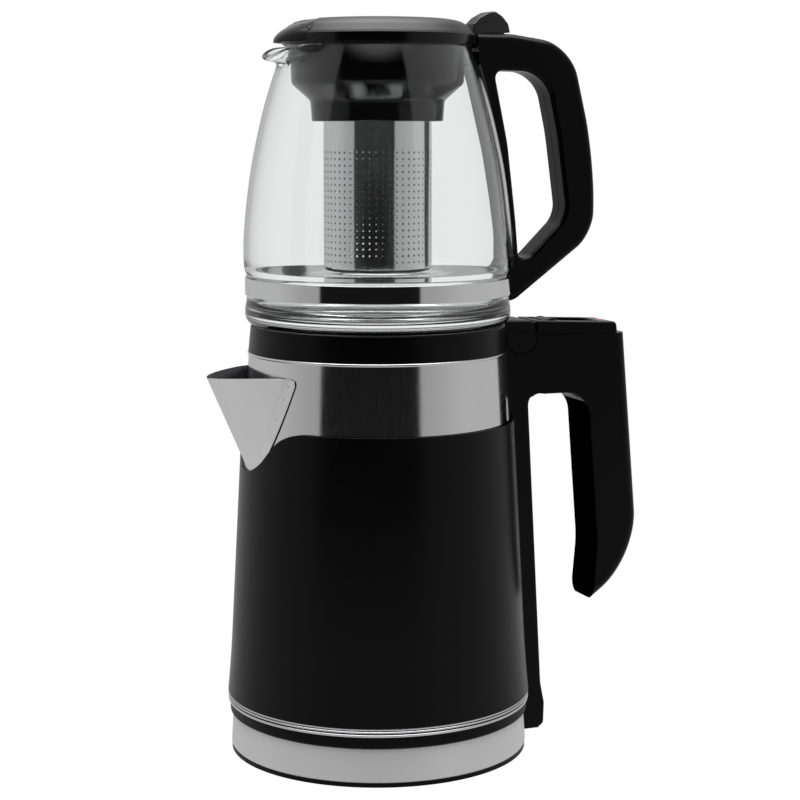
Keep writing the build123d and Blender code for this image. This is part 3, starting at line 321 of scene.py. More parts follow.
def between(tree, value, low, high):
    ramp = tree.nodes.new("ShaderNodeMapRange")
    ramp.inputs["From Min"].default_value = 0.3
    ramp.inputs["From Max"].default_value = 0.7
    ramp.inputs["To Min"].default_value = low
    ramp.inputs["To Max"].default_value = high
    tree.links.new(value, ramp.inputs["Value"])
    return ramp.outputs["Result"]


def blendColours(tree, value, first, second):
    mix = tree.nodes.new("ShaderNodeMix")
    mix.data_type = "RGBA"
    mix.inputs["A"].default_value = (*first, 1)
    mix.inputs["B"].default_value = (*second, 1)
    tree.links.new(value, mix.inputs["Factor"])
    return mix.outputs["Result"]


def roughen(tree, shader, value, strength, distance):
    bump = tree.nodes.new("ShaderNodeBump")
    bump.inputs["Strength"].default_value = strength
    bump.inputs["Distance"].default_value = distance
    tree.links.new(value, bump.inputs["Height"])
    tree.links.new(bump.outputs["Normal"], shader.inputs["Normal"])


def brushedSteel(name, colour, roughness, strength, stretch=(1, 1, 0.012), metal=1.0):
    # hairlines that run up the wall, with faint broad smears over them
    finish, tree, shader = newFinish(name, colour, roughness, Metallic=metal)
    lines = grain(tree, 2600, stretch)
    smears = grain(tree, 26, (1, 1, 0.35), 4)
    shade = blendColours(tree, between(tree, smears, 0, 1), [c * 0.93 for c in colour], colour)
    tree.links.new(shade, shader.inputs["Base Color"])
    tree.links.new(between(tree, lines, roughness * 0.75, roughness * 1.3), shader.inputs["Roughness"])
    roughen(tree, shader, lines, strength, 0.00002)
    return finish


def moulded(name, colour, roughness, strength=0.12, scale=2200, **sockets):
    # plastic or paint with a fine skin and slightly uneven gloss
    finish, tree, shader = newFinish(name, colour, roughness, **sockets)
    skin = grain(tree, scale, detail=3)
    clouds = grain(tree, 18, detail=4)
    darker, lighter = [c * 0.85 for c in colour], [c * 1.15 for c in colour]
    shade = blendColours(tree, between(tree, clouds, 0, 1), darker, lighter)
    tree.links.new(shade, shader.inputs["Base Color"])
    tree.links.new(between(tree, clouds, roughness * 0.9, roughness * 1.12), shader.inputs["Roughness"])
    roughen(tree, shader, skin, strength, 0.00003)
    return finish


def blownGlass():
    finish, tree, shader = newFinish("clearGlass", (0.985, 0.995, 0.99), 0.0, IOR=1.47,
                                     Transmission_Weight=1.0)
    waves = grain(tree, 22, (1, 1, 0.6), 1)
    roughen(tree, shader, waves, 0.05, 0.0006)
    return finish


finishes = {
    "vessel": brushedSteel("vesselSteel", (0.80, 0.80, 0.81), 0.12, 0.10),
    "skirt": brushedSteel("skirtSteel", (0.72, 0.72, 0.73), 0.40, 0.12, metal=0.6),
    "strap": brushedSteel("strapSteel", (0.82, 0.82, 0.83), 0.07, 0.04),
    "spout": brushedSteel("spoutSteel", (0.88, 0.88, 0.89), 0.38, 0.03, (1, 1, 0.05)),
    # a dark steel colour, painted shade for the inside of the spout
    "spoutPaintedShade": brushedSteel("paintedShadeSteel", (0.12, 0.12, 0.125), 0.30, 0.10),
    "basket": brushedSteel("basketSteel", (0.90, 0.90, 0.91), 0.11, 0.05),
    "trim": brushedSteel("trimSteel", (0.70, 0.70, 0.71), 0.10, 0.05, (0.02, 0.02, 1)),
    "jacket": moulded("jacketBlack", (0.0008, 0.0008, 0.0009), 0.28, 0.08, 2600, Specular_IOR_Level=0.16),
    "handle": moulded("handleBlack", (0.0010, 0.0010, 0.0011), 0.20, 0.08, 1800, Specular_IOR_Level=0.12),
    "lid": moulded("lidBlack", (0.006, 0.006, 0.0062), 0.45, 0.16, 2200, Specular_IOR_Level=0.62),
    "collar": moulded("collarBlack", (0.0010, 0.0010, 0.0011), 0.30, 0.10, 2200, Specular_IOR_Level=0.14),
    "matte": moulded("matteBlack", (0.0010, 0.0010, 0.0011), 0.60, 0.10, 1800, Specular_IOR_Level=0.0),
    "gloss": moulded("glossBlack", (0.002, 0.002, 0.002), 0.16, 0.05, 1500, Specular_IOR_Level=0.28),
    "groove": moulded("grooveBlack", (0.0015, 0.0015, 0.0015), 0.40, 0.2, 1600, Specular_IOR_Level=0.12),
    "infuser": moulded("infuserBlack", (0.0015, 0.0015, 0.0018), 0.12, 0.03, 900, Specular_IOR_Level=0.34),
    "rubber": moulded("footRubber", (0.03, 0.03, 0.03), 0.8, 0.4, 1500),
    "silicone": moulded("padSilicone", (0.42, 0.42, 0.40), 0.55, 0.1, 900),
    "screw": brushedSteel("screwZinc", (0.62, 0.62, 0.64), 0.3, 0.1, (1, 1, 1)),
    "brass": brushedSteel("contactBrass", (0.72, 0.52, 0.22), 0.3, 0.1, (1, 1, 1)),
    "aluminium": moulded("castAluminium", (0.6, 0.6, 0.61), 0.45, 0.3, 1200, Metallic=1.0),
    "white": moulded("whiteMoulding", (0.62, 0.61, 0.57), 0.5, 0.15, 1200),
    "lens": moulded("lensAmber", (0.45, 0.16, 0.03), 0.12, 0.02, 900),
    "wire": moulded("wireSleeve", (0.36, 0.34, 0.30), 0.7, 0.5, 1400),
    "glass": blownGlass(),
}
print("finishes ready:", len(finishes))

# what lies inside or underneath keeps the node's own shape
plainNodes = {
    "rubber_feet": "rubber", "base_screws": "screw", "base_connector": "groove", "base_contacts": "brass",
    "cord_gland": "groove", "kettle_socket": "groove", "socket_contacts": "brass", "heater_plate": "vessel",
    "heating_element": "aluminium", "thermostat_control": "white", "lid_pan": "basket",
    "lid_seal": "silicone", "kettle_lid_pin": "collar", "switch_pin": "screw", "switch_contacts": "white",
    "handle_screws": "screw", "handle_wiring": "wire", "band_stud": "screw", "teapot_lid_pin": "screw",
    "teapot_handle_screws": "screw",
}
for node, finish in plainNodes.items():
    dress(node, finishes[finish])

# power base

skirt = {"outline": [(71.7, 2.6), (75.0, 2.6), (73.9, 19.4), (73.1, 19.4), (74.15, 3.4), (71.7, 3.4)],
         "bends": (0, 1.1, 0.3, 0.3, 0.4, 0), "lead": (5.1, (0, 72.0, 10.0), 8.0)}
piece = turned("baseSkirt", skirt["outline"], skirt["bends"])
cutWith(piece, rod("skirtHole", *skirt["lead"], edge=0))
finishPiece(piece, "base", finishes["skirt"], ["base_skirt"])

deck = {"outline": [(17.1, 17.4), (72.77, 17.4), (72.77, 19.7), (66.5, 19.7), (65.3, 18.9), (25.0, 18.9),
                    (23.8, 19.7), (17.1, 19.7)],
        "bends": (0, 0, 0.8, 0.6, 0.6, 0.6, 0.6, 0.3)}
piece = turned("baseDeck", deck["outline"], deck["bends"])
finishPiece(piece, "base", finishes["groove"], ["base_deck"])

dress("base_floor", finishes["groove"])
print("power base done")

# kettle body

floorRing = {"outline": [(20.3, 22.7), (68.0, 22.7), (68.0, 19.75), (75.4, 19.75), (75.4, 25.5), (73.0, 25.5),
                         (73.0, 44.0), (71.0, 44.0), (71.0, 25.2), (22.3, 25.2), (22.3, 32.5), (20.3, 32.5)],
             "bends": (0, 0.4, 0.4, 1.0, 0.6, 0, 0.4, 0.4, 1.0, 1.0, 0.5, 0.5)}
piece = turned("kettleFloor", floorRing["outline"], floorRing["bends"])
finishPiece(piece, "kettle", finishes["groove"], ["kettle_floor"])

trim = {"outline": [(73.15, 25.5), (76.4, 25.5), (76.4, 26.8), (75.6, 26.9), (75.6, 27.4), (76.4, 27.5),
                    (76.4, 28.4), (75.7, 28.5), (75.7, 28.8), (76.3, 28.9), (76.3, 29.7), (73.15, 29.7)],
        "bends": (0, 0.5, 0.5, 0, 0, 0.4, 0.4, 0, 0, 0.2, 0.2, 0),
        "grooves": ((26.7, 27.6), (28.35, 28.95)), "deep": 75.95}
piece = turned("trimRing", trim["outline"], trim["bends"])
finishPiece(piece, "kettle", finishes["trim"], ["trim_ring"])
piece.data.materials.append(finishes["groove"])
for face in piece.data.polygons:
    middle = face.center / mm
    for low, high in trim["grooves"]:
        if low < middle.z < high and sqrt(middle.x ** 2 + middle.y ** 2) < trim["deep"]:
            face.material_index = 1

# the jacket's foot flares out, and its top edge dips under the spout in two arcs
jacket = {"outline": [(68.2, 168.0), (74.93, 44.85), (76.5, 29.7), (75.7, 29.7), (74.13, 44.85),
                      (67.4, 168.0)],
          "bends": (0, 610, 0.4, 0, 600, 0), "bottom": 145.3, "lowArc": 27.0, "highArc": 22.0, "top": 168.0,
          "above": 6.0, "beside": 15, "cutDepth": 90, "wall": 68.2, "slope": 0.0547, "rim": 0.32}


def dipOutline(bottom, lowArc, highArc, top, above, beside):
    # corners of the cut that makes the dip, whose sides slope at 45 degrees between the arcs
    share = 1 - cos(radians(45))
    lowEnd = lowArc * sin(radians(45)), bottom + lowArc * share
    run = top - lowEnd[1] - highArc * share
    highStart = lowEnd[0] + run, lowEnd[1] + run
    corner = lowEnd[0] - (lowEnd[1] - bottom)
    turn = highStart[0] + (top - highStart[1])
    return [(-turn, top), (-corner, bottom), (corner, bottom), (turn, top), (turn + beside, top),
            (turn + beside, top + above), (-turn - beside, top + above), (-turn - beside, top)]


corners = dipOutline(*(jacket[key] for key in ("bottom", "lowArc", "highArc", "top", "above", "beside")))
dipBends = [jacket[key] for key in ("highArc", "lowArc", "lowArc", "highArc")]
piece = turned("kettleJacket", jacket["outline"], jacket["bends"], steps=240)
cutter = drawFace("jacketDip", corners, dipBends, place=sideways, steps=24)
bpy.ops.mesh.select_all(action="SELECT")
bpy.ops.mesh.extrude_region_move(TRANSFORM_OT_translate={"value": (-jacket["cutDepth"] * mm, 0, 0)})
tidyUp()
bpy.ops.object.mode_set(mode="OBJECT")
cutWith(piece, cutter)
editing(piece)


def onJacketRim(spot):
    # outer edge of the jacket's top, dip included
    reach = sqrt(spot.x ** 2 + spot.y ** 2)
    wall = jacket["wall"] + jacket["slope"] * (jacket["top"] - spot.z)
    return spot.z > 144.5 and abs(reach - wall) < 0.12


mesh = bmesh.from_edit_mesh(piece.data)
bpy.context.tool_settings.mesh_select_mode = (False, True, False)
selectNothing(mesh)
for edge in mesh.edges:
    middle = (edge.verts[0].co + edge.verts[1].co) / 2 / mm
    if len(edge.link_faces) == 2 and onJacketRim(middle) and edge.calc_face_angle() > radians(60):
        edge.select_set(True)
bmesh.update_edit_mesh(piece.data)
bpy.ops.mesh.bevel(offset=jacket["rim"] * mm, segments=2, affect="EDGES", material=1)
bpy.ops.object.mode_set(mode="OBJECT")
finishPiece(piece, "kettle", finishes["jacket"], ["jacket"], angle=30)
piece.data.materials.append(finishes["trim"])

vessel = {"outline": [(73.02, 44.0), (64.43, 201.2), (64.97, 201.2), (64.97, 202.5), (63.57, 202.5),
                      (72.22, 44.0)],
          "bends": (0, 0.1, 0.5, 0.5, 0.4, 0), "hole": 2.0, "pitch": 6.5, "rows": 4, "high": 192.5,
          "drillX": -64.0, "drillLength": 20, "wall": 64.366, "slope": 0.0546, "top": 202.5}
piece = turned("innerVessel", vessel["outline"], vessel["bends"], steps=240)
drills = []
for row in range(vessel["rows"]):
    count = 2 * (vessel["rows"] - row) - 1
    for k in range(count):
        across = (k - (count - 1) / 2) * vessel["pitch"]
        height = vessel["high"] - vessel["pitch"] * (row + 1)
        drills.append(rod("drill", vessel["hole"], (vessel["drillX"], across, height),
                          vessel["drillLength"], axis="X", sides=24, edge=0))
cutWith(piece, joinInto("drills", drills))
finishPiece(piece, "kettle", finishes["vessel"], ["inner_vessel"], angle=30)
print("kettle body done")

# kettle spout

# a pressed trough whose sheet runs on as a flange that lies on the vessel's wall
spout = {"foot": 146.0, "rim": 192.0, "tip": 22.9, "half": 30.0, "round": 0.87, "wallRise": 1.7,
         "riseEnd": 26.0, "low": 141.5, "sheet": 0.32, "flange": 6.7, "fold": 1.2, "columns": 160, "rows": 76,
         "corner": 3.5, "tail": 6, "play": 0.05, "widest": 36.0, "cutEdge": 0.1,
         "dimples": ((32.9, 190.1), (30.5, 183.8), (26.5, 174.0), (22.8, 165.0)), "dent": (1.5, 0.55)}


def vesselRadius(z):
    return vessel["wall"] + vessel["slope"] * (vessel["top"] - z)


def spoutShare(z):
    return max((z - spout["foot"]) / (spout["rim"] - spout["foot"]), 0.0)


def foldHalf(z):
    # half the trough's width where it meets the wall
    return spout["half"] * max(spoutShare(z), 0.0001) ** 0.6


def spoutSkin(y, z):
    # how far the sheet stands out at this place: the wall, or the trough where that reaches further
    wall = sqrt((vesselRadius(z) + spout["sheet"] + spout["play"]) ** 2 - y * y)
    if z <= spout["foot"]:
        return wall
    root = vesselRadius(spout["foot"]) + spout["sheet"]
    tip = root + spoutShare(z) * (vesselRadius(spout["rim"]) + spout["tip"] - root)
    half = min(foldHalf(z), spout["widest"])
    edge = sqrt((vesselRadius(z) + spout["sheet"] + spout["play"]) ** 2 - half ** 2)
    across = abs(y) / foldHalf(z)
    way = (across * across + 0.0025) ** spout["round"] - 0.0025 ** spout["round"]
    nose = edge + (tip - edge) * (1 - way)
    gap = max(spout["fold"] - abs(wall - nose), 0) / spout["fold"]
    return max(wall, nose) + gap * gap * spout["fold"] / 4


def spoutPlace(u, v):
    # u runs across from -1 to 1 and v up from 0 to 1
    top = spout["rim"]
    z = spout["low"] + v * (top - spout["low"])
    width = foldHalf(z) + spout["flange"] * (1.4 - 0.4 * spoutShare(z))
    # the flange's top corner and its tail are rounded
    near = max(z - (top - spout["corner"]), 0) / spout["corner"]
    width -= spout["corner"] * (1 - sqrt(max(1 - near * near, 0)))
    tail = max(spout["low"] + spout["tail"] - z, 0) / spout["tail"]
    width *= sqrt(max(1 - 0.8 * tail * tail, 0.05))
    y = u * width
    z += spout["wallRise"] * min(abs(y) / spout["riseEnd"], 1) ** 1.1 * v ** 6
    x = spoutSkin(y, z)
    reach = sqrt(x * x + y * y)
    for across, height in spout["dimples"]:
        away = sqrt((abs(y) - across) ** 2 + (z - height) ** 2)
        depth = spout["dent"][1] * max(1 - (away / spout["dent"][0]) ** 2, 0) ** 1.5
        x -= depth * x / reach
        y -= depth * y / reach
    return Vector((-x * mm, y * mm, z * mm))


bpy.ops.object.select_all(action="DESELECT")
bpy.ops.mesh.primitive_grid_add(x_subdivisions=spout["columns"], y_subdivisions=spout["rows"], size=2)
piece = bpy.context.object
piece.name = piece.data.name = "kettleSpout"
for spot in piece.data.vertices:
    spot.co = spoutPlace(spot.co.x, (spot.co.y + 1) / 2)
applyModifier(piece, "SOLIDIFY", thickness=spout["sheet"] * mm, offset=-1, use_even_offset=True)
bpy.ops.object.mode_set(mode="EDIT")
tidyUp()
bpy.ops.object.mode_set(mode="OBJECT")
applyModifier(piece, "BEVEL", width=spout["cutEdge"] * mm, segments=1, limit_method="ANGLE",
              angle_limit=radians(50))
finishPiece(piece, "kettle", finishes["spout"], ["spout"], angle=40)
# the side that faces the vessel and the cut rim get a dark steel colour: painted shade for the inside of the
# spout
piece.data.materials.append(finishes["spoutPaintedShade"])
for face in piece.data.polygons:
    face.material_index = 1 if face.normal.x > 0.02 or face.normal.z > 0.6 else 0
print("kettle spout done")

# kettle lid

kettlePin = {"place": (72.77, 0, 204.5), "length": 30, "lidBore": 1.55, "spineBore": 1.6}
lidRing = {"outline": [(61.97, 202.5), (64.57, 202.5), (63.27, 215.5), (57.57, 215.5), (57.57, 198.0),
                       (53.57, 198.0), (53.57, 196.0), (59.97, 196.0), (59.97, 213.0), (61.97, 213.0)],
           "bends": (0, 0.3, 0.9, 0.5, 0.5, 0.4, 0.4, 0.6, 0, 0)}
lug = {"outline": [(60.5, 207.8), (80.3, 207.8), (80.3, 213.6), (78.9, 215.2), (60.5, 216.0)],
       "bends": (0, 0, 1.5, 1.5, 0), "half": 12.7, "edge": 1.2,
       "clear": [(0, 190), (62.2, 190), (62.2, 230), (0, 230)]}
ear = {"outline": [(64.0, 209.5), (64.0, 198.7), (81.5, 198.7), (81.5, 207.4), (80.3, 209.5)],
       "bends": (0, 8.7, 8.7, 0.2, 0), "side": (10.8, 13.4), "edge": 0.6}
piece = turned("kettleLid", lidRing["outline"], lidRing["bends"], steps=200)
arm = plate("lidLug", lug["outline"], lug["bends"], -lug["half"], lug["half"])
bevelEdges(lambda spot: abs(abs(spot.y) - lug["half"]) < 0.05 and spot.z > 213.0, lug["edge"])
bpy.ops.object.mode_set(mode="OBJECT")
cutWith(arm, capped("lidLugCut", lug["clear"], steps=96))
cutWith(piece, arm, "UNION")
for side in (-1, 1):
    low, high = sorted((side * ear["side"][0], side * ear["side"][1]))
    hanger = plate("lidEar", ear["outline"], ear["bends"], low, high, steps=12)
    outside = side * ear["side"][1]
    bevelEdges(lambda spot: abs(spot.y - outside) < 0.05 and spot.z < 207.0, ear["edge"])
    bpy.ops.object.mode_set(mode="OBJECT")
    cutWith(piece, hanger, "UNION")
cutWith(piece, rod("lidBore", kettlePin["lidBore"], kettlePin["place"], kettlePin["length"], sides=32,
                   edge=0))
finishPiece(piece, "kettle", finishes["collar"], ["kettle_lid"])
print("kettle lid done")

# kettle handle

grip = {"outline": [(86.0, 207.5), (131.8, 207.5), (142.2, 88.0), (86.0, 46.46)], "bends": (0, 0, 46.0, 0),
        "gap": [(60.0, 177.49), (110.2, 177.49), (116.7, 97.0), (114.6, 67.6), (114.6, 30.0), (60.0, 30.0)],
        "gapBends": (0, 13.0, 60.0, 0, 0, 0), "gapHalf": 20, "half": 13.5, "edge": 6.0, "innerEdge": 0.9}
spine = {"outline": [(61.97, 207.5), (86.0, 207.5), (86.0, 177.49), (76.7, 179.3), (85.4, 26.0), (87.6, 15.0),
                     (87.2, 2.2), (61.97, 2.2)],
         "bends": (0, 0, 0, 6.0, 14.0, 6.0, 3.6, 0), "half": 13.5, "edge": 2.0,
         "inside": [(0, -1), (76.3, -1), (76.3, 19.7), (76.7, 19.7), (76.7, 30.0), (76.8, 30.0), (75.4, 44.85),
                    (74.4, 60.0), (68.5, 168.3), (66.5, 168.3), (64.75, 201.0), (65.5, 201.0), (65.5, 216.5),
                    (0, 216.5)],
         "pocket": (9.1, 12.6, 207.5, 4.8), "screwWay": (3.5, (88.0, 0, 22.6), 10.2)}
piece = plate("handleGrip", grip["outline"], grip["bends"], -grip["half"], grip["half"], steps=16)
gapLine = grip["gap"][:4]
bevelEdges(lambda spot: onSide(spot, grip["half"]) and spot.x > 87 and spot.z < 207.2, grip["edge"], 8)
bpy.ops.object.mode_set(mode="OBJECT")
cutter = plate("gripGap", grip["gap"], grip["gapBends"], -grip["gapHalf"], grip["gapHalf"], steps=10)
bpy.ops.object.mode_set(mode="OBJECT")
cutWith(piece, cutter)
editing(piece)
bevelEdges(lambda spot: onSide(spot, grip["half"]) and lineGap(gapLine, spot) < 6.0 and spot.x > 87
           and spot.z > 80, grip["innerEdge"], 3)
finishPiece(piece, "kettle", finishes["handle"], ["handle_body"])
# the face towards the kettle is matte
piece.data.materials.append(finishes["matte"])
for face in piece.data.polygons:
    if face.normal.x < -0.8 and face.center.z < 0.18:
        face.material_index = 1

piece = plate("handleSpine", spine["outline"], spine["bends"], -spine["half"], spine["half"], steps=8)
back = spine["outline"][3:7]
bevelEdges(lambda spot: onSide(spot, spine["half"]) and lineGap(back, spot) < 2.5 and spot.z < 177.5,
           spine["edge"], 6)
bpy.ops.object.mode_set(mode="OBJECT")
cutWith(piece, capped("spineCut", spine["inside"], steps=200))
radius, across, height, length = spine["pocket"]
for side in (-1, 1):
    place = (kettlePin["place"][0], side * across, height)
    cutWith(piece, rod("earPocket", radius, place, length, sides=48, edge=0))
cutWith(piece, rod("spineBore", kettlePin["spineBore"], kettlePin["place"], kettlePin["length"], sides=32,
                   edge=0))
cutWith(piece, rod("spineScrewWay", *spine["screwWay"], axis="X", sides=32, edge=0))
finishPiece(piece, "kettle", finishes["handle"], ["spine"])

cap = {"outline": [(80.6, 207.6), (80.6, 213.9), (81.8, 215.15), (126.4, 213.2), (127.0, 207.6)],
       "bends": (0, 0.6, 1.0, 2.2, 0), "half": 12.7, "edge": 1.1, "noseEdge": 0.8,
       "room": ((101.0, 0, 211.0), (34.2, 19.0, 12.0)), "lensHole": (2.1, (122.2, 0, 211.0), 12)}
piece = plate("handleCap", cap["outline"], cap["bends"], -cap["half"], cap["half"])
bevelEdges(lambda spot: onSide(spot, cap["half"]) and (spot.z > 210 or spot.x > 126.2), cap["edge"])
bevelEdges(lambda spot: onSide(spot, cap["half"]) and spot.x > 126 and spot.z < 213, cap["noseEdge"])
bpy.ops.object.mode_set(mode="OBJECT")
cutWith(piece, box("capRoom", *cap["room"]))
cutWith(piece, rod("capLens", *cap["lensHole"], axis="Z", sides=32, edge=0))
finishPiece(piece, "kettle", finishes["handle"], ["handle_cap"])

piece = copyOf("switch_frame", "switchFrame")
finishPiece(piece, "kettle", finishes["groove"], ["switch_frame"])

rocker = {"outline": [(87.4, 214.9), (92.0, 215.7), (101.0, 212.9), (115.7, 212.4), (115.5, 210.6),
                      (101.0, 208.7), (86.6, 212.7)],
          "bends": (0.6, 2.0, 14.0, 0.6, 0.3, 0, 0.3), "half": 7.7, "edge": 0.7}
piece = plate("rockerSwitch", rocker["outline"], rocker["bends"], -rocker["half"], rocker["half"])
bevelEdges(lambda spot: onSide(spot, rocker["half"]), rocker["edge"])
finishPiece(piece, "rocker", finishes["collar"], ["rocker_switch"])

cover = {"outline": [(111.5, 160.0), (113.5, 160.0), (118.2, 102.0), (116.15, 102.0)], "half": 10.5,
         "edge": 0.4}
piece = plate("gripCover", cover["outline"], (), -cover["half"], cover["half"])
bevelEdges(lambda spot: spot.x < 117, cover["edge"])
finishPiece(piece, "kettle", finishes["matte"], ["grip_cover"])

lens = {"radius": 2.0, "place": (122.2, 0, 210.6), "length": 5.8, "edge": 0.6}
piece = rod("indicatorLens", lens["radius"], lens["place"], lens["length"], axis="Z", sides=40,
            edge=lens["edge"])
finishPiece(piece, "kettle", finishes["lens"], ["indicator_lens"])
print("kettle handle done")

# glass teapot

glass = {"outside": [(0, 217.3), (50.0, 216.6), (56.5, 215.8), (60.0, 215.52), (62.4, 215.8),
                     (64.3, 217.1), (65.6, 219.2), (66.0, 221.8), (65.8, 224.8), (65.25, 227.4),
                     (65.15, 229.5), (65.15, 234.8), (65.15, 240.0), (65.6, 241.4), (66.2, 243.2),
                     (66.4, 246.0), (66.5, 250.0), (66.5, 254.7),
                     (65.9, 264.6), (64.6, 276.9), (62.7, 290.6), (60.2, 303.7), (56.2, 320.8), (51.2, 337.2),
                     (48.2, 345.0), (45.75, 350.6)],
         "rim": [(45.3, 351.4), (44.5, 351.6), (43.8, 351.2), (43.6, 350.4)],
         "inside": [(46.0, 344.6), (49.0, 336.6), (53.9, 320.2), (57.9, 303.2), (60.4, 290.2), (62.3, 276.7),
                    (63.6, 264.5), (64.2, 254.7), (64.1, 247.0), (63.2, 240.6), (62.95, 236.0),
                    (62.95, 231.0),
                    (62.9, 227.6), (61.8, 224.4), (59.0, 222.3), (54.0, 221.3), (30.0, 221.0), (0, 221.0)],
         "steps": 224, "smooth": 3,
         "lip": {"reach": 12.5, "drop": 5.7, "turn": 41.0, "root": 341.5, "rim": 351.6, "spread": 0.28}}


def throughPoints(points, pieces):
    # a smooth line that passes through every point
    line = []
    ends = [points[0]] + list(points) + [points[-1]]
    for k in range(1, len(ends) - 2):
        a, b, c, d = (Vector(p) for p in ends[k - 1:k + 3])
        for j in range(pieces):
            t = j / pieces
            spot = (2 * b + (c - a) * t + (2 * a - 5 * b + 4 * c - d) * t * t
                    + (3 * b - a - 3 * c + d) * t ** 3) / 2
            line.append((max(spot.x, 0), spot.y))
    return line + [points[-1]]


section = throughPoints(glass["outside"] + glass["rim"] + glass["inside"], glass["smooth"])
piece = capped("glassBody", section, steps=glass["steps"])
lip = glass["lip"]
for spot in piece.data.vertices:
    turn = abs(pi - abs(atan2(spot.co.y, spot.co.x)))
    if turn < radians(lip["turn"]) and spot.co.z > lip["root"] * mm:
        rise = min((spot.co.z / mm - lip["root"]) / (lip["rim"] - lip["root"]), 1)
        rise *= rise * (3 - 2 * rise)
        level = cos(pi / 2 * turn / radians(lip["turn"]))
        share = level ** 1.8 * rise
        spot.co.x -= lip["reach"] * share * mm
        spot.co.y *= 1 + lip["spread"] * share
        spot.co.z -= lip["drop"] * level ** 4.6 * rise * mm
finishPiece(piece, "teapot", finishes["glass"], ["glass_body"], angle=60)

band = {"outline": [(65.22, 230.5), (65.92, 230.5), (65.92, 239.1), (65.22, 239.1)],
        "bends": (0.2, 0.3, 0.3, 0.2)}
piece = turned("steelBand", band["outline"], band["bends"], steps=224)
finishPiece(piece, "teapot", finishes["strap"], ["steel_band"])
print("glass done")

# teapot handle

potPin = {"place": (65.1, 0, 354.3), "bore": 1.55, "length": 14.0}
potHandle = {"outline": [(41.5, 358.8), (69.0, 358.6), (101.8, 353.6), (115.5, 297.0), (115.5, 258.2),
                         (71.0, 225.0), (41.5, 225.0)],
             "bends": (0, 30.0, 24.0, 190.0, 23.0, 9.0, 0), "half": 9.0, "edge": 4.0,
             "front": [(66.22, 205.0), (66.22, 238.8), (69.4, 244.0), (69.5, 258.0), (66.6, 277.0),
                       (62.3, 301.0), (53.4, 336.3), (49.9, 345.5), (49.9, 365.0), (0, 365.0), (0, 205.0)],
             "frontBends": (0, 2.0, 2.0, 40.0, 60.0, 60.0, 60.0, 10.0, 0, 0, 0),
             "hole": [(58.9, 340.4), (87.0, 339.9), (93.8, 309.0), (99.4, 268.0), (78.8, 247.6),
                      (72.9, 246.6), (71.2, 266.0), (66.6, 304.0)],
             "holeBends": (4.0, 17.0, 120.0, 13.0, 5.0, 2.5, 80.0, 80.0), "holeEdge": 2.1, "seam": 0.25,
             "split": 290.0, "cutHalf": 12, "armSlot": ((55.0, 0, 357.0), (20.2, 12.6, 11.4)),
             "barrel": 4.3, "swing": 15.1, "slotWide": 12.6,
             "swingFloor": ((69.1, 0, 356.3), (10.0, 12.6, 14.0)),
             "swingSide": ((75.1, 0, 363.3), (22.0, 20.0, 20.0))}
holeLoop = potHandle["hole"] + potHandle["hole"][:1]
for side in (-1, 1):
    name = "teapotHandleLeft" if side < 0 else "teapotHandleRight"
    low, high = (-potHandle["half"], 0) if side < 0 else (0, potHandle["half"])
    outside = side * potHandle["half"]
    piece = plate(name, potHandle["outline"], potHandle["bends"], low, high, steps=14)
    bevelEdges(lambda spot: abs(spot.y - outside) < 0.02 and spot.x > 43, potHandle["edge"], 7)
    bpy.ops.object.mode_set(mode="OBJECT")
    front = plate("handleFront", potHandle["front"], potHandle["frontBends"], -potHandle["cutHalf"],
                  potHandle["cutHalf"], steps=10)
    bpy.ops.object.mode_set(mode="OBJECT")
    cutWith(piece, front)
    # a line across both arms, so that no side face has to close round the finger hole
    editing(piece)
    bpy.ops.mesh.bisect(plane_co=(0, 0, potHandle["split"] * mm), plane_no=(0, 0, 1))
    bpy.ops.object.mode_set(mode="OBJECT")
    finger = plate("fingerHole", potHandle["hole"], potHandle["holeBends"], -potHandle["cutHalf"],
                   potHandle["cutHalf"], steps=12)
    bpy.ops.object.mode_set(mode="OBJECT")
    cutWith(piece, finger)
    editing(piece)
    bevelEdges(lambda spot: abs(spot.y - outside) < 0.02 and lineGap(holeLoop, spot) < 5.2
               and lineGap(potHandle["front"], spot) > 1.2, potHandle["holeEdge"], 5)
    bevelEdges(lambda spot: abs(spot.y) < 0.02 and spot.x > 43, potHandle["seam"], 1)
    bpy.ops.object.mode_set(mode="OBJECT")
    wide = potHandle["slotWide"]
    cutWith(piece, box("armSlot", *potHandle["armSlot"]))
    cutWith(piece, rod("barrelRoom", potHandle["barrel"], potPin["place"], wide, sides=48, edge=0))
    # the thumb tab swings down behind the pin
    cutWith(piece, box("swingFloor", *potHandle["swingFloor"]))
    swing = rod("swingRoom", potHandle["swing"], potPin["place"], wide, sides=96, edge=0)
    cutWith(swing, box("swingSide", *potHandle["swingSide"]), "INTERSECT")
    cutWith(piece, swing)
    cutWith(piece, rod("pinWay", potPin["bore"], potPin["place"], potPin["length"], sides=32, edge=0))
    finishPiece(piece, "teapot", finishes["handle"],
                ["teapot_handle_left" if side < 0 else "teapot_handle_right"])

piece = copyOf("neck_pad", "neckPad")
finishPiece(piece, "teapot", finishes["collar"], ["neck_pad"])
print("teapot handle done")

# teapot lid

lid = {"outline": [(0, 364.8), (30.0, 364.6), (36.0, 364.3), (40.6, 363.5), (44.0, 361.6), (46.9, 357.8),
                   (47.4, 356.8), (47.0, 352.6), (46.4, 352.6), (46.4, 353.8), (44.8, 353.8), (44.8, 359.0),
                   (36.4, 363.2), (0, 363.2)],
       "bends": (0, 0, 10.0, 10.0, 6.0, 1.0, 0.15, 0.25, 0.2, 0, 0.3, 1.0, 1.0, 0),
       "well": [(0, 340.0), (46.3, 340.0), (46.3, 353.7), (44.7, 353.7), (44.7, 357.6), (42.0, 360.4),
                (0, 360.4)],
       "crease": 356.8, "arm": ((55.0, 0, 356.1), (20.4, 12.0, 5.4)), "armEdge": 0.5,
       "barrel": 4.0, "barrelWide": 12.0, "barrelEdge": 0.3}
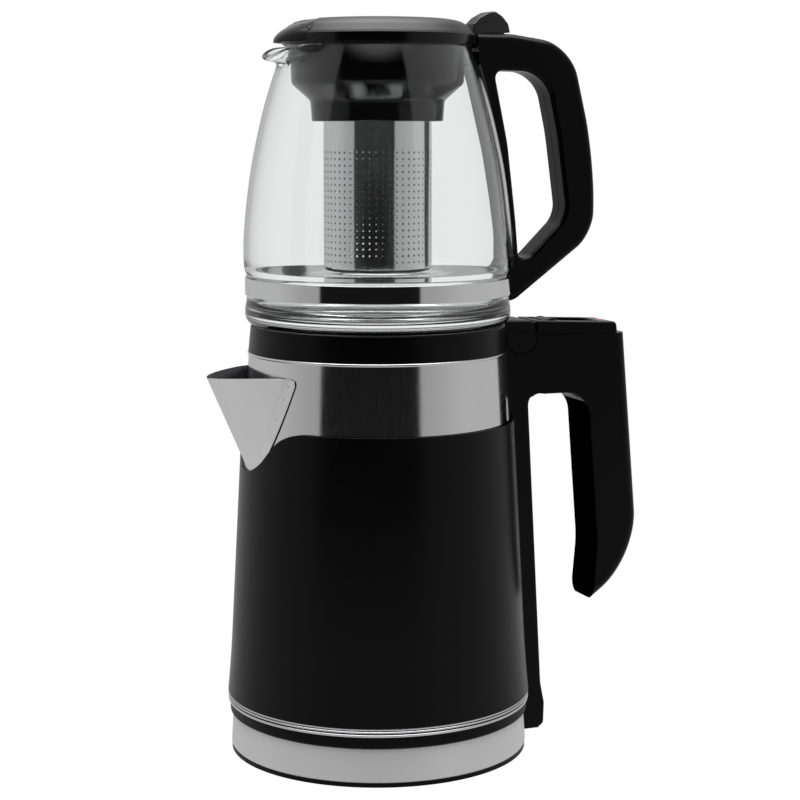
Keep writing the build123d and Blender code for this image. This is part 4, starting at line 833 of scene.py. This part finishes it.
# the beak runs from its nose back to a crease on the crown; share goes from 0 at the crease to 1 at the nose
beak = {"nose": -52.8, "back": -29.0, "low": 353.0, "high": 364.4, "wide": 20.9, "widest": 0.55, "flare": 1.7,
        "columns": 72, "rows": 96}


def crownHeight(reach):
    line = [(b, a) for b, a in lid["outline"][:7]]
    for (r1, z1), (r2, z2) in zip(line, line[1:]):
        if reach <= r2:
            return z1 + (z2 - z1) * (reach - r1) / (r2 - r1)
    return lid["crease"]


def beakHalf(share):
    if share > beak["widest"]:
        return beak["wide"] * ((1 - share) / (1 - beak["widest"])) ** 0.6
    return beak["wide"] * (1 - ((beak["widest"] - share) / beak["widest"]) ** 1.8)


def beakSkin(across, share):
    x = beak["back"] + (beak["nose"] - beak["back"]) * share
    half = beakHalf(share)
    ridge = beak["low"] + (beak["high"] - beak["low"]) * (1 - share ** 1.6) ** 0.6
    if share > beak["widest"]:
        side = beak["low"] + beak["flare"] * (1 - share) / (1 - beak["widest"])
    else:
        side = crownHeight(sqrt(x * x + half * half))
    height = side + (ridge - side) * max(1 - abs(across) ** 2.3, 0) ** (1 / 2.3)
    return x, across * half, height


def beakBlock(name, inset, sink, end):
    # the beak's skin drawn up or down to a flat end
    bpy.ops.object.select_all(action="DESELECT")
    bpy.ops.mesh.primitive_grid_add(x_subdivisions=beak["columns"], y_subdivisions=beak["rows"], size=2)
    block = bpy.context.object
    block.name = block.data.name = name
    for spot in block.data.vertices:
        share = 0.004 + 0.996 * (spot.co.y + 1) / 2
        x, y, z = beakSkin(sin(spot.co.x * pi / 2), min(share, 0.9995))
        middle = (beak["back"] + beak["nose"]) / 2
        spot.co = Vector((middle + (x - middle) * (1 - inset), y * (1 - inset), z - sink)) * mm
    bpy.ops.object.mode_set(mode="EDIT")
    bpy.ops.mesh.select_all(action="SELECT")
    bpy.ops.mesh.extrude_region_move()
    bpy.ops.transform.resize(value=(1, 1, 0), center_override=(0, 0, end * mm))
    tidyUp()
    bpy.ops.object.mode_set(mode="OBJECT")
    return block


piece = turned("teapotLid", lid["outline"], lid["bends"], steps=224)
cutWith(piece, beakBlock("beakRoom", 0.006, 0.3, 372.0))
cutWith(piece, beakBlock("lidBeak", 0, 0, 352.9), "UNION")
# the well keeps 0.1 mm clear of the lid's own inner wall, because two walls in one place don't cut reliably
cutWith(piece, capped("lidWell", lid["well"], steps=128))
arm = box("lidArm", *lid["arm"])
applyModifier(arm, "BEVEL", width=lid["armEdge"] * mm, segments=2, limit_method="ANGLE")
cutWith(piece, arm, "UNION")
barrel = rod("lidBarrel", lid["barrel"], potPin["place"], lid["barrelWide"], sides=64, edge=lid["barrelEdge"])
cutWith(piece, barrel, "UNION")
cutWith(piece, rod("lidBore", potPin["bore"], potPin["place"], potPin["length"], sides=32, edge=0))
finishPiece(piece, "teapot_lid", finishes["lid"], ["teapot_lid"], angle=25)
# the beak, and the edge below the crease, are polished
piece.data.materials.append(finishes["gloss"])
for face in piece.data.polygons:
    middle = face.center / mm
    share = (middle.x - beak["back"]) / (beak["nose"] - beak["back"])
    onBeak = 0.02 < share < 1.01 and abs(middle.y) < beakHalf(min(share, 1)) + 0.05 and middle.z > 352.95
    onEdge = middle.z < lid["crease"] and 46.3 < sqrt(middle.x ** 2 + middle.y ** 2) < 47.45
    if onEdge or onBeak and face.normal.z > -0.5:
        face.material_index = 1

plug = {"outline": [(38.7, 349.5), (40.5, 349.5), (40.5, 354.2), (44.7, 354.2), (44.7, 355.6), (38.7, 355.6)],
        "bends": (0.4, 0.6, 0.4, 0.3, 0.3, 0.3)}
piece = turned("lidPlug", plug["outline"], plug["bends"], steps=160)
finishPiece(piece, "teapot_lid", finishes["infuser"], ["lid_plug"])

tab = {"outline": [(48.4, 358.8), (48.4, 363.0), (51.8, 366.4), (57.1, 369.2), (60.4, 369.5), (64.2, 367.1),
                   (67.5, 363.3), (68.4, 359.1)],
       "bends": (0, 0.5, 3.0, 4.0, 3.0, 3.0, 3.0, 0), "half": 6.0, "edge": 1.0}
piece = plate("lidTab", tab["outline"], tab["bends"], -tab["half"], tab["half"], steps=6)
bevelEdges(lambda spot: onSide(spot, tab["half"]) and spot.z > 359.3, tab["edge"])
finishPiece(piece, "teapot_lid", finishes["lid"], ["lid_tab"])
print("teapot lid done")

# infuser

holder = {"outline": [(46.2, 351.7), (46.2, 353.2), (41.5, 353.2), (40.7, 334.0), (31.4, 325.8),
                      (30.7, 316.8), (26.3, 316.8), (26.3, 315.2), (32.3, 315.2), (33.0, 325.0),
                      (42.3, 333.2), (43.1, 351.7)],
          "bends": (0.4, 0.4, 0.6, 2.5, 2.0, 0.5, 0.3, 0.3, 0.6, 3.0, 3.5, 0.2)}
piece = turned("infuserHolder", holder["outline"], holder["bends"])
finishPiece(piece, "infuser", finishes["infuser"], ["infuser_holder"])

# the sieve is a sheet of cells, each with an eight-sided hole inset in it
sieve = {"radius": 26.2, "low": 242.6, "top": 317.3, "holes": (247.4, 300.2), "rows": 18, "columns": 51,
         "hole": 0.5, "sheet": 0.5, "lip": 30.0}
bpy.ops.object.select_all(action="DESELECT")
bpy.ops.mesh.primitive_cylinder_add(vertices=sieve["columns"], radius=sieve["radius"] * mm, depth=mm,
                                    end_fill_type="NOTHING", location=(0, 0, 0))
piece = bpy.context.object
piece.name = piece.data.name = "infuserBasket"
bpy.ops.object.mode_set(mode="EDIT")
mesh = bmesh.from_edit_mesh(piece.data)
pitch = (sieve["holes"][1] - sieve["holes"][0]) / (sieve["rows"] - 1)
fieldLow, fieldHigh = sieve["holes"][0] - pitch / 2, sieve["holes"][1] + pitch / 2
for spot in mesh.verts:
    spot.co.z = (fieldLow if spot.co.z < 0 else fieldHigh) * mm
bmesh.update_edit_mesh(piece.data)
pick("EDGE", lambda spot: fieldLow + 1 < spot.z < fieldHigh - 1)
bpy.ops.mesh.subdivide_edgering(number_cuts=sieve["rows"] - 1, interpolation="LINEAR", smoothness=0)
pick("FACE", lambda spot: True)
wide = 2 * pi * sieve["radius"] / sieve["columns"]
bpy.ops.mesh.inset(thickness=(wide / 2 - sieve["hole"]) * mm, use_individual=True)
mesh = bmesh.from_edit_mesh(piece.data)
for face in mesh.faces:
    if face.select:
        middle = face.calc_center_median()
        for spot in face.verts:
            spot.co.z = middle.z + (sieve["hole"] if spot.co.z > middle.z else -sieve["hole"]) * mm
bmesh.update_edit_mesh(piece.data)
bpy.ops.mesh.bevel(offset=0.55 * sieve["hole"] * mm, segments=1, affect="VERTICES")
mesh = bmesh.from_edit_mesh(piece.data)
for face in mesh.faces:
    face.select_set(len(face.verts) == 8 and face.calc_area() < 4 * (sieve["hole"] * mm) ** 2)
bmesh.update_edit_mesh(piece.data)
bpy.context.tool_settings.mesh_select_mode = (False, False, True)
bpy.ops.mesh.delete(type="FACE")
for height, end in ((fieldLow, sieve["low"]), (fieldHigh, sieve["top"])):
    pick("EDGE", lambda spot: abs(spot.z - height) < 0.01)
    bpy.ops.mesh.extrude_region_move(TRANSFORM_OT_translate={"value": (0, 0, (end - height) * mm)})
share = sieve["lip"] / sieve["radius"]
bpy.ops.mesh.extrude_region_move()
bpy.ops.transform.resize(value=(share, share, 1), center_override=(0, 0, 0))
tidyUp()
bpy.ops.object.mode_set(mode="OBJECT")
applyModifier(piece, "SOLIDIFY", thickness=sieve["sheet"] * mm, offset=-1)
finishPiece(piece, "infuser", finishes["basket"], ["infuser_basket"], angle=30)

sieveFloor = {"outline": [(0, 240.6), (25.2, 240.6), (26.15, 241.3), (26.15, 242.5), (0, 242.5)]}
piece = capped("infuserFloor", sieveFloor["outline"], steps=96)
finishPiece(piece, "infuser", finishes["infuser"], ["infuser_floor"])
print("infuser done")

# studio

# white all round, but dark where the camera stands, as in a studio with the lights beside the lens
studio = {"near": 0.39, "far": 0.53, "behind": 0.5, "dark": 0.008, "ahead": (-0.4535, -0.8901, 0),
          "edge": (0.71, 0.74), "turn": (-0.1, 0.7), "back": (-0.85, -0.6), "high": (0.7, 0.9), "above": 5.5,
          "through": 1.1, "floor": 0.55}
world = bpy.data.worlds.new("studio")
bpy.context.scene.world = world
world.use_nodes = True
tree = world.node_tree
tree.nodes.clear()


def addNode(kind, **settings):
    node = tree.nodes.new(kind)
    for key, value in settings.items():
        setattr(node, key, value)
    return node


def rangeOf(value, low, high, first, last):
    node = addNode("ShaderNodeMapRange", interpolation_type="SMOOTHSTEP")
    for key, number in (("From Min", low), ("From Max", high), ("To Min", first), ("To Max", last)):
        if isinstance(number, float):
            node.inputs[key].default_value = number
        else:
            tree.links.new(number, node.inputs[key])
    tree.links.new(value, node.inputs["Value"])
    return node.outputs["Result"]


way = addNode("ShaderNodeTexCoord").outputs["Generated"]
level = addNode("ShaderNodeVectorMath", operation="MULTIPLY")
level.inputs[1].default_value = (1, 1, 0)
tree.links.new(way, level.inputs[0])
unit = addNode("ShaderNodeVectorMath", operation="NORMALIZE")
tree.links.new(level.outputs[0], unit.inputs[0])
facing = addNode("ShaderNodeVectorMath", operation="DOT_PRODUCT")
facing.inputs[1].default_value = studio["ahead"]
tree.links.new(unit.outputs[0], facing.inputs[0])
height = addNode("ShaderNodeSeparateXYZ")
tree.links.new(way, height.inputs[0])
sides = rangeOf(facing.outputs["Value"], *studio["turn"], studio["far"], studio["near"])
sides = rangeOf(facing.outputs["Value"], *studio["back"], studio["behind"], sides)
sides = rangeOf(facing.outputs["Value"], *studio["edge"], sides, studio["dark"])
upward = rangeOf(height.outputs["Z"], *studio["high"], 0.0, 1.0)
shade = addNode("ShaderNodeMix")
tree.links.new(upward, shade.inputs["Factor"])
tree.links.new(sides, shade.inputs["A"])
shade.inputs["B"].default_value = studio["above"]
around = addNode("ShaderNodeBackground")
tree.links.new(shade.outputs["Result"], around.inputs["Strength"])
around.inputs["Color"].default_value = (1, 1, 1, 1)
paper = addNode("ShaderNodeBackground")
paper.inputs["Color"].default_value = (1, 1, 1, 1)
# what shows through the glass is almost as pale as the backdrop
seen = addNode("ShaderNodeLightPath")
beyond = addNode("ShaderNodeBackground")
beyond.inputs["Strength"].default_value = studio["through"]
clear = addNode("ShaderNodeMath", operation="LESS_THAN")
clear.inputs[1].default_value = 0.5
tree.links.new(seen.outputs["Glossy Depth"], clear.inputs[0])
straight = addNode("ShaderNodeMath", operation="MULTIPLY")
tree.links.new(clear.outputs[0], straight.inputs[0])
tree.links.new(seen.outputs["Is Transmission Ray"], straight.inputs[1])
through = addNode("ShaderNodeMixShader")
tree.links.new(straight.outputs[0], through.inputs["Fac"])
tree.links.new(around.outputs["Background"], through.inputs[1])
tree.links.new(beyond.outputs["Background"], through.inputs[2])
mix = addNode("ShaderNodeMixShader")
tree.links.new(seen.outputs["Is Camera Ray"], mix.inputs["Fac"])
tree.links.new(through.outputs["Shader"], mix.inputs[1])
tree.links.new(paper.outputs["Background"], mix.inputs[2])
tree.links.new(mix.outputs["Shader"], addNode("ShaderNodeOutputWorld").inputs["Surface"])
bpy.context.scene.view_settings.view_transform = "Standard"

bpy.ops.object.select_all(action="DESELECT")
bpy.ops.mesh.primitive_circle_add(vertices=96, radius=0.9, fill_type="NGON", location=(0, 0, -0.0002))
floor = bpy.context.object
floor.name = floor.data.name = "paperFloor"
paint = bpy.data.materials.new("paper")
paint.use_nodes = True
tree = paint.node_tree
tree.nodes.clear()
glow = addNode("ShaderNodeEmission")
level = addNode("ShaderNodeMapRange")
level.inputs["To Min"].default_value = studio["floor"]
tree.links.new(addNode("ShaderNodeLightPath").outputs["Is Camera Ray"], level.inputs["Value"])
tree.links.new(level.outputs["Result"], glow.inputs["Strength"])
tree.links.new(glow.outputs["Emission"], addNode("ShaderNodeOutputMaterial").inputs["Surface"])
floor.data.materials.append(paint)

print("scene finished")
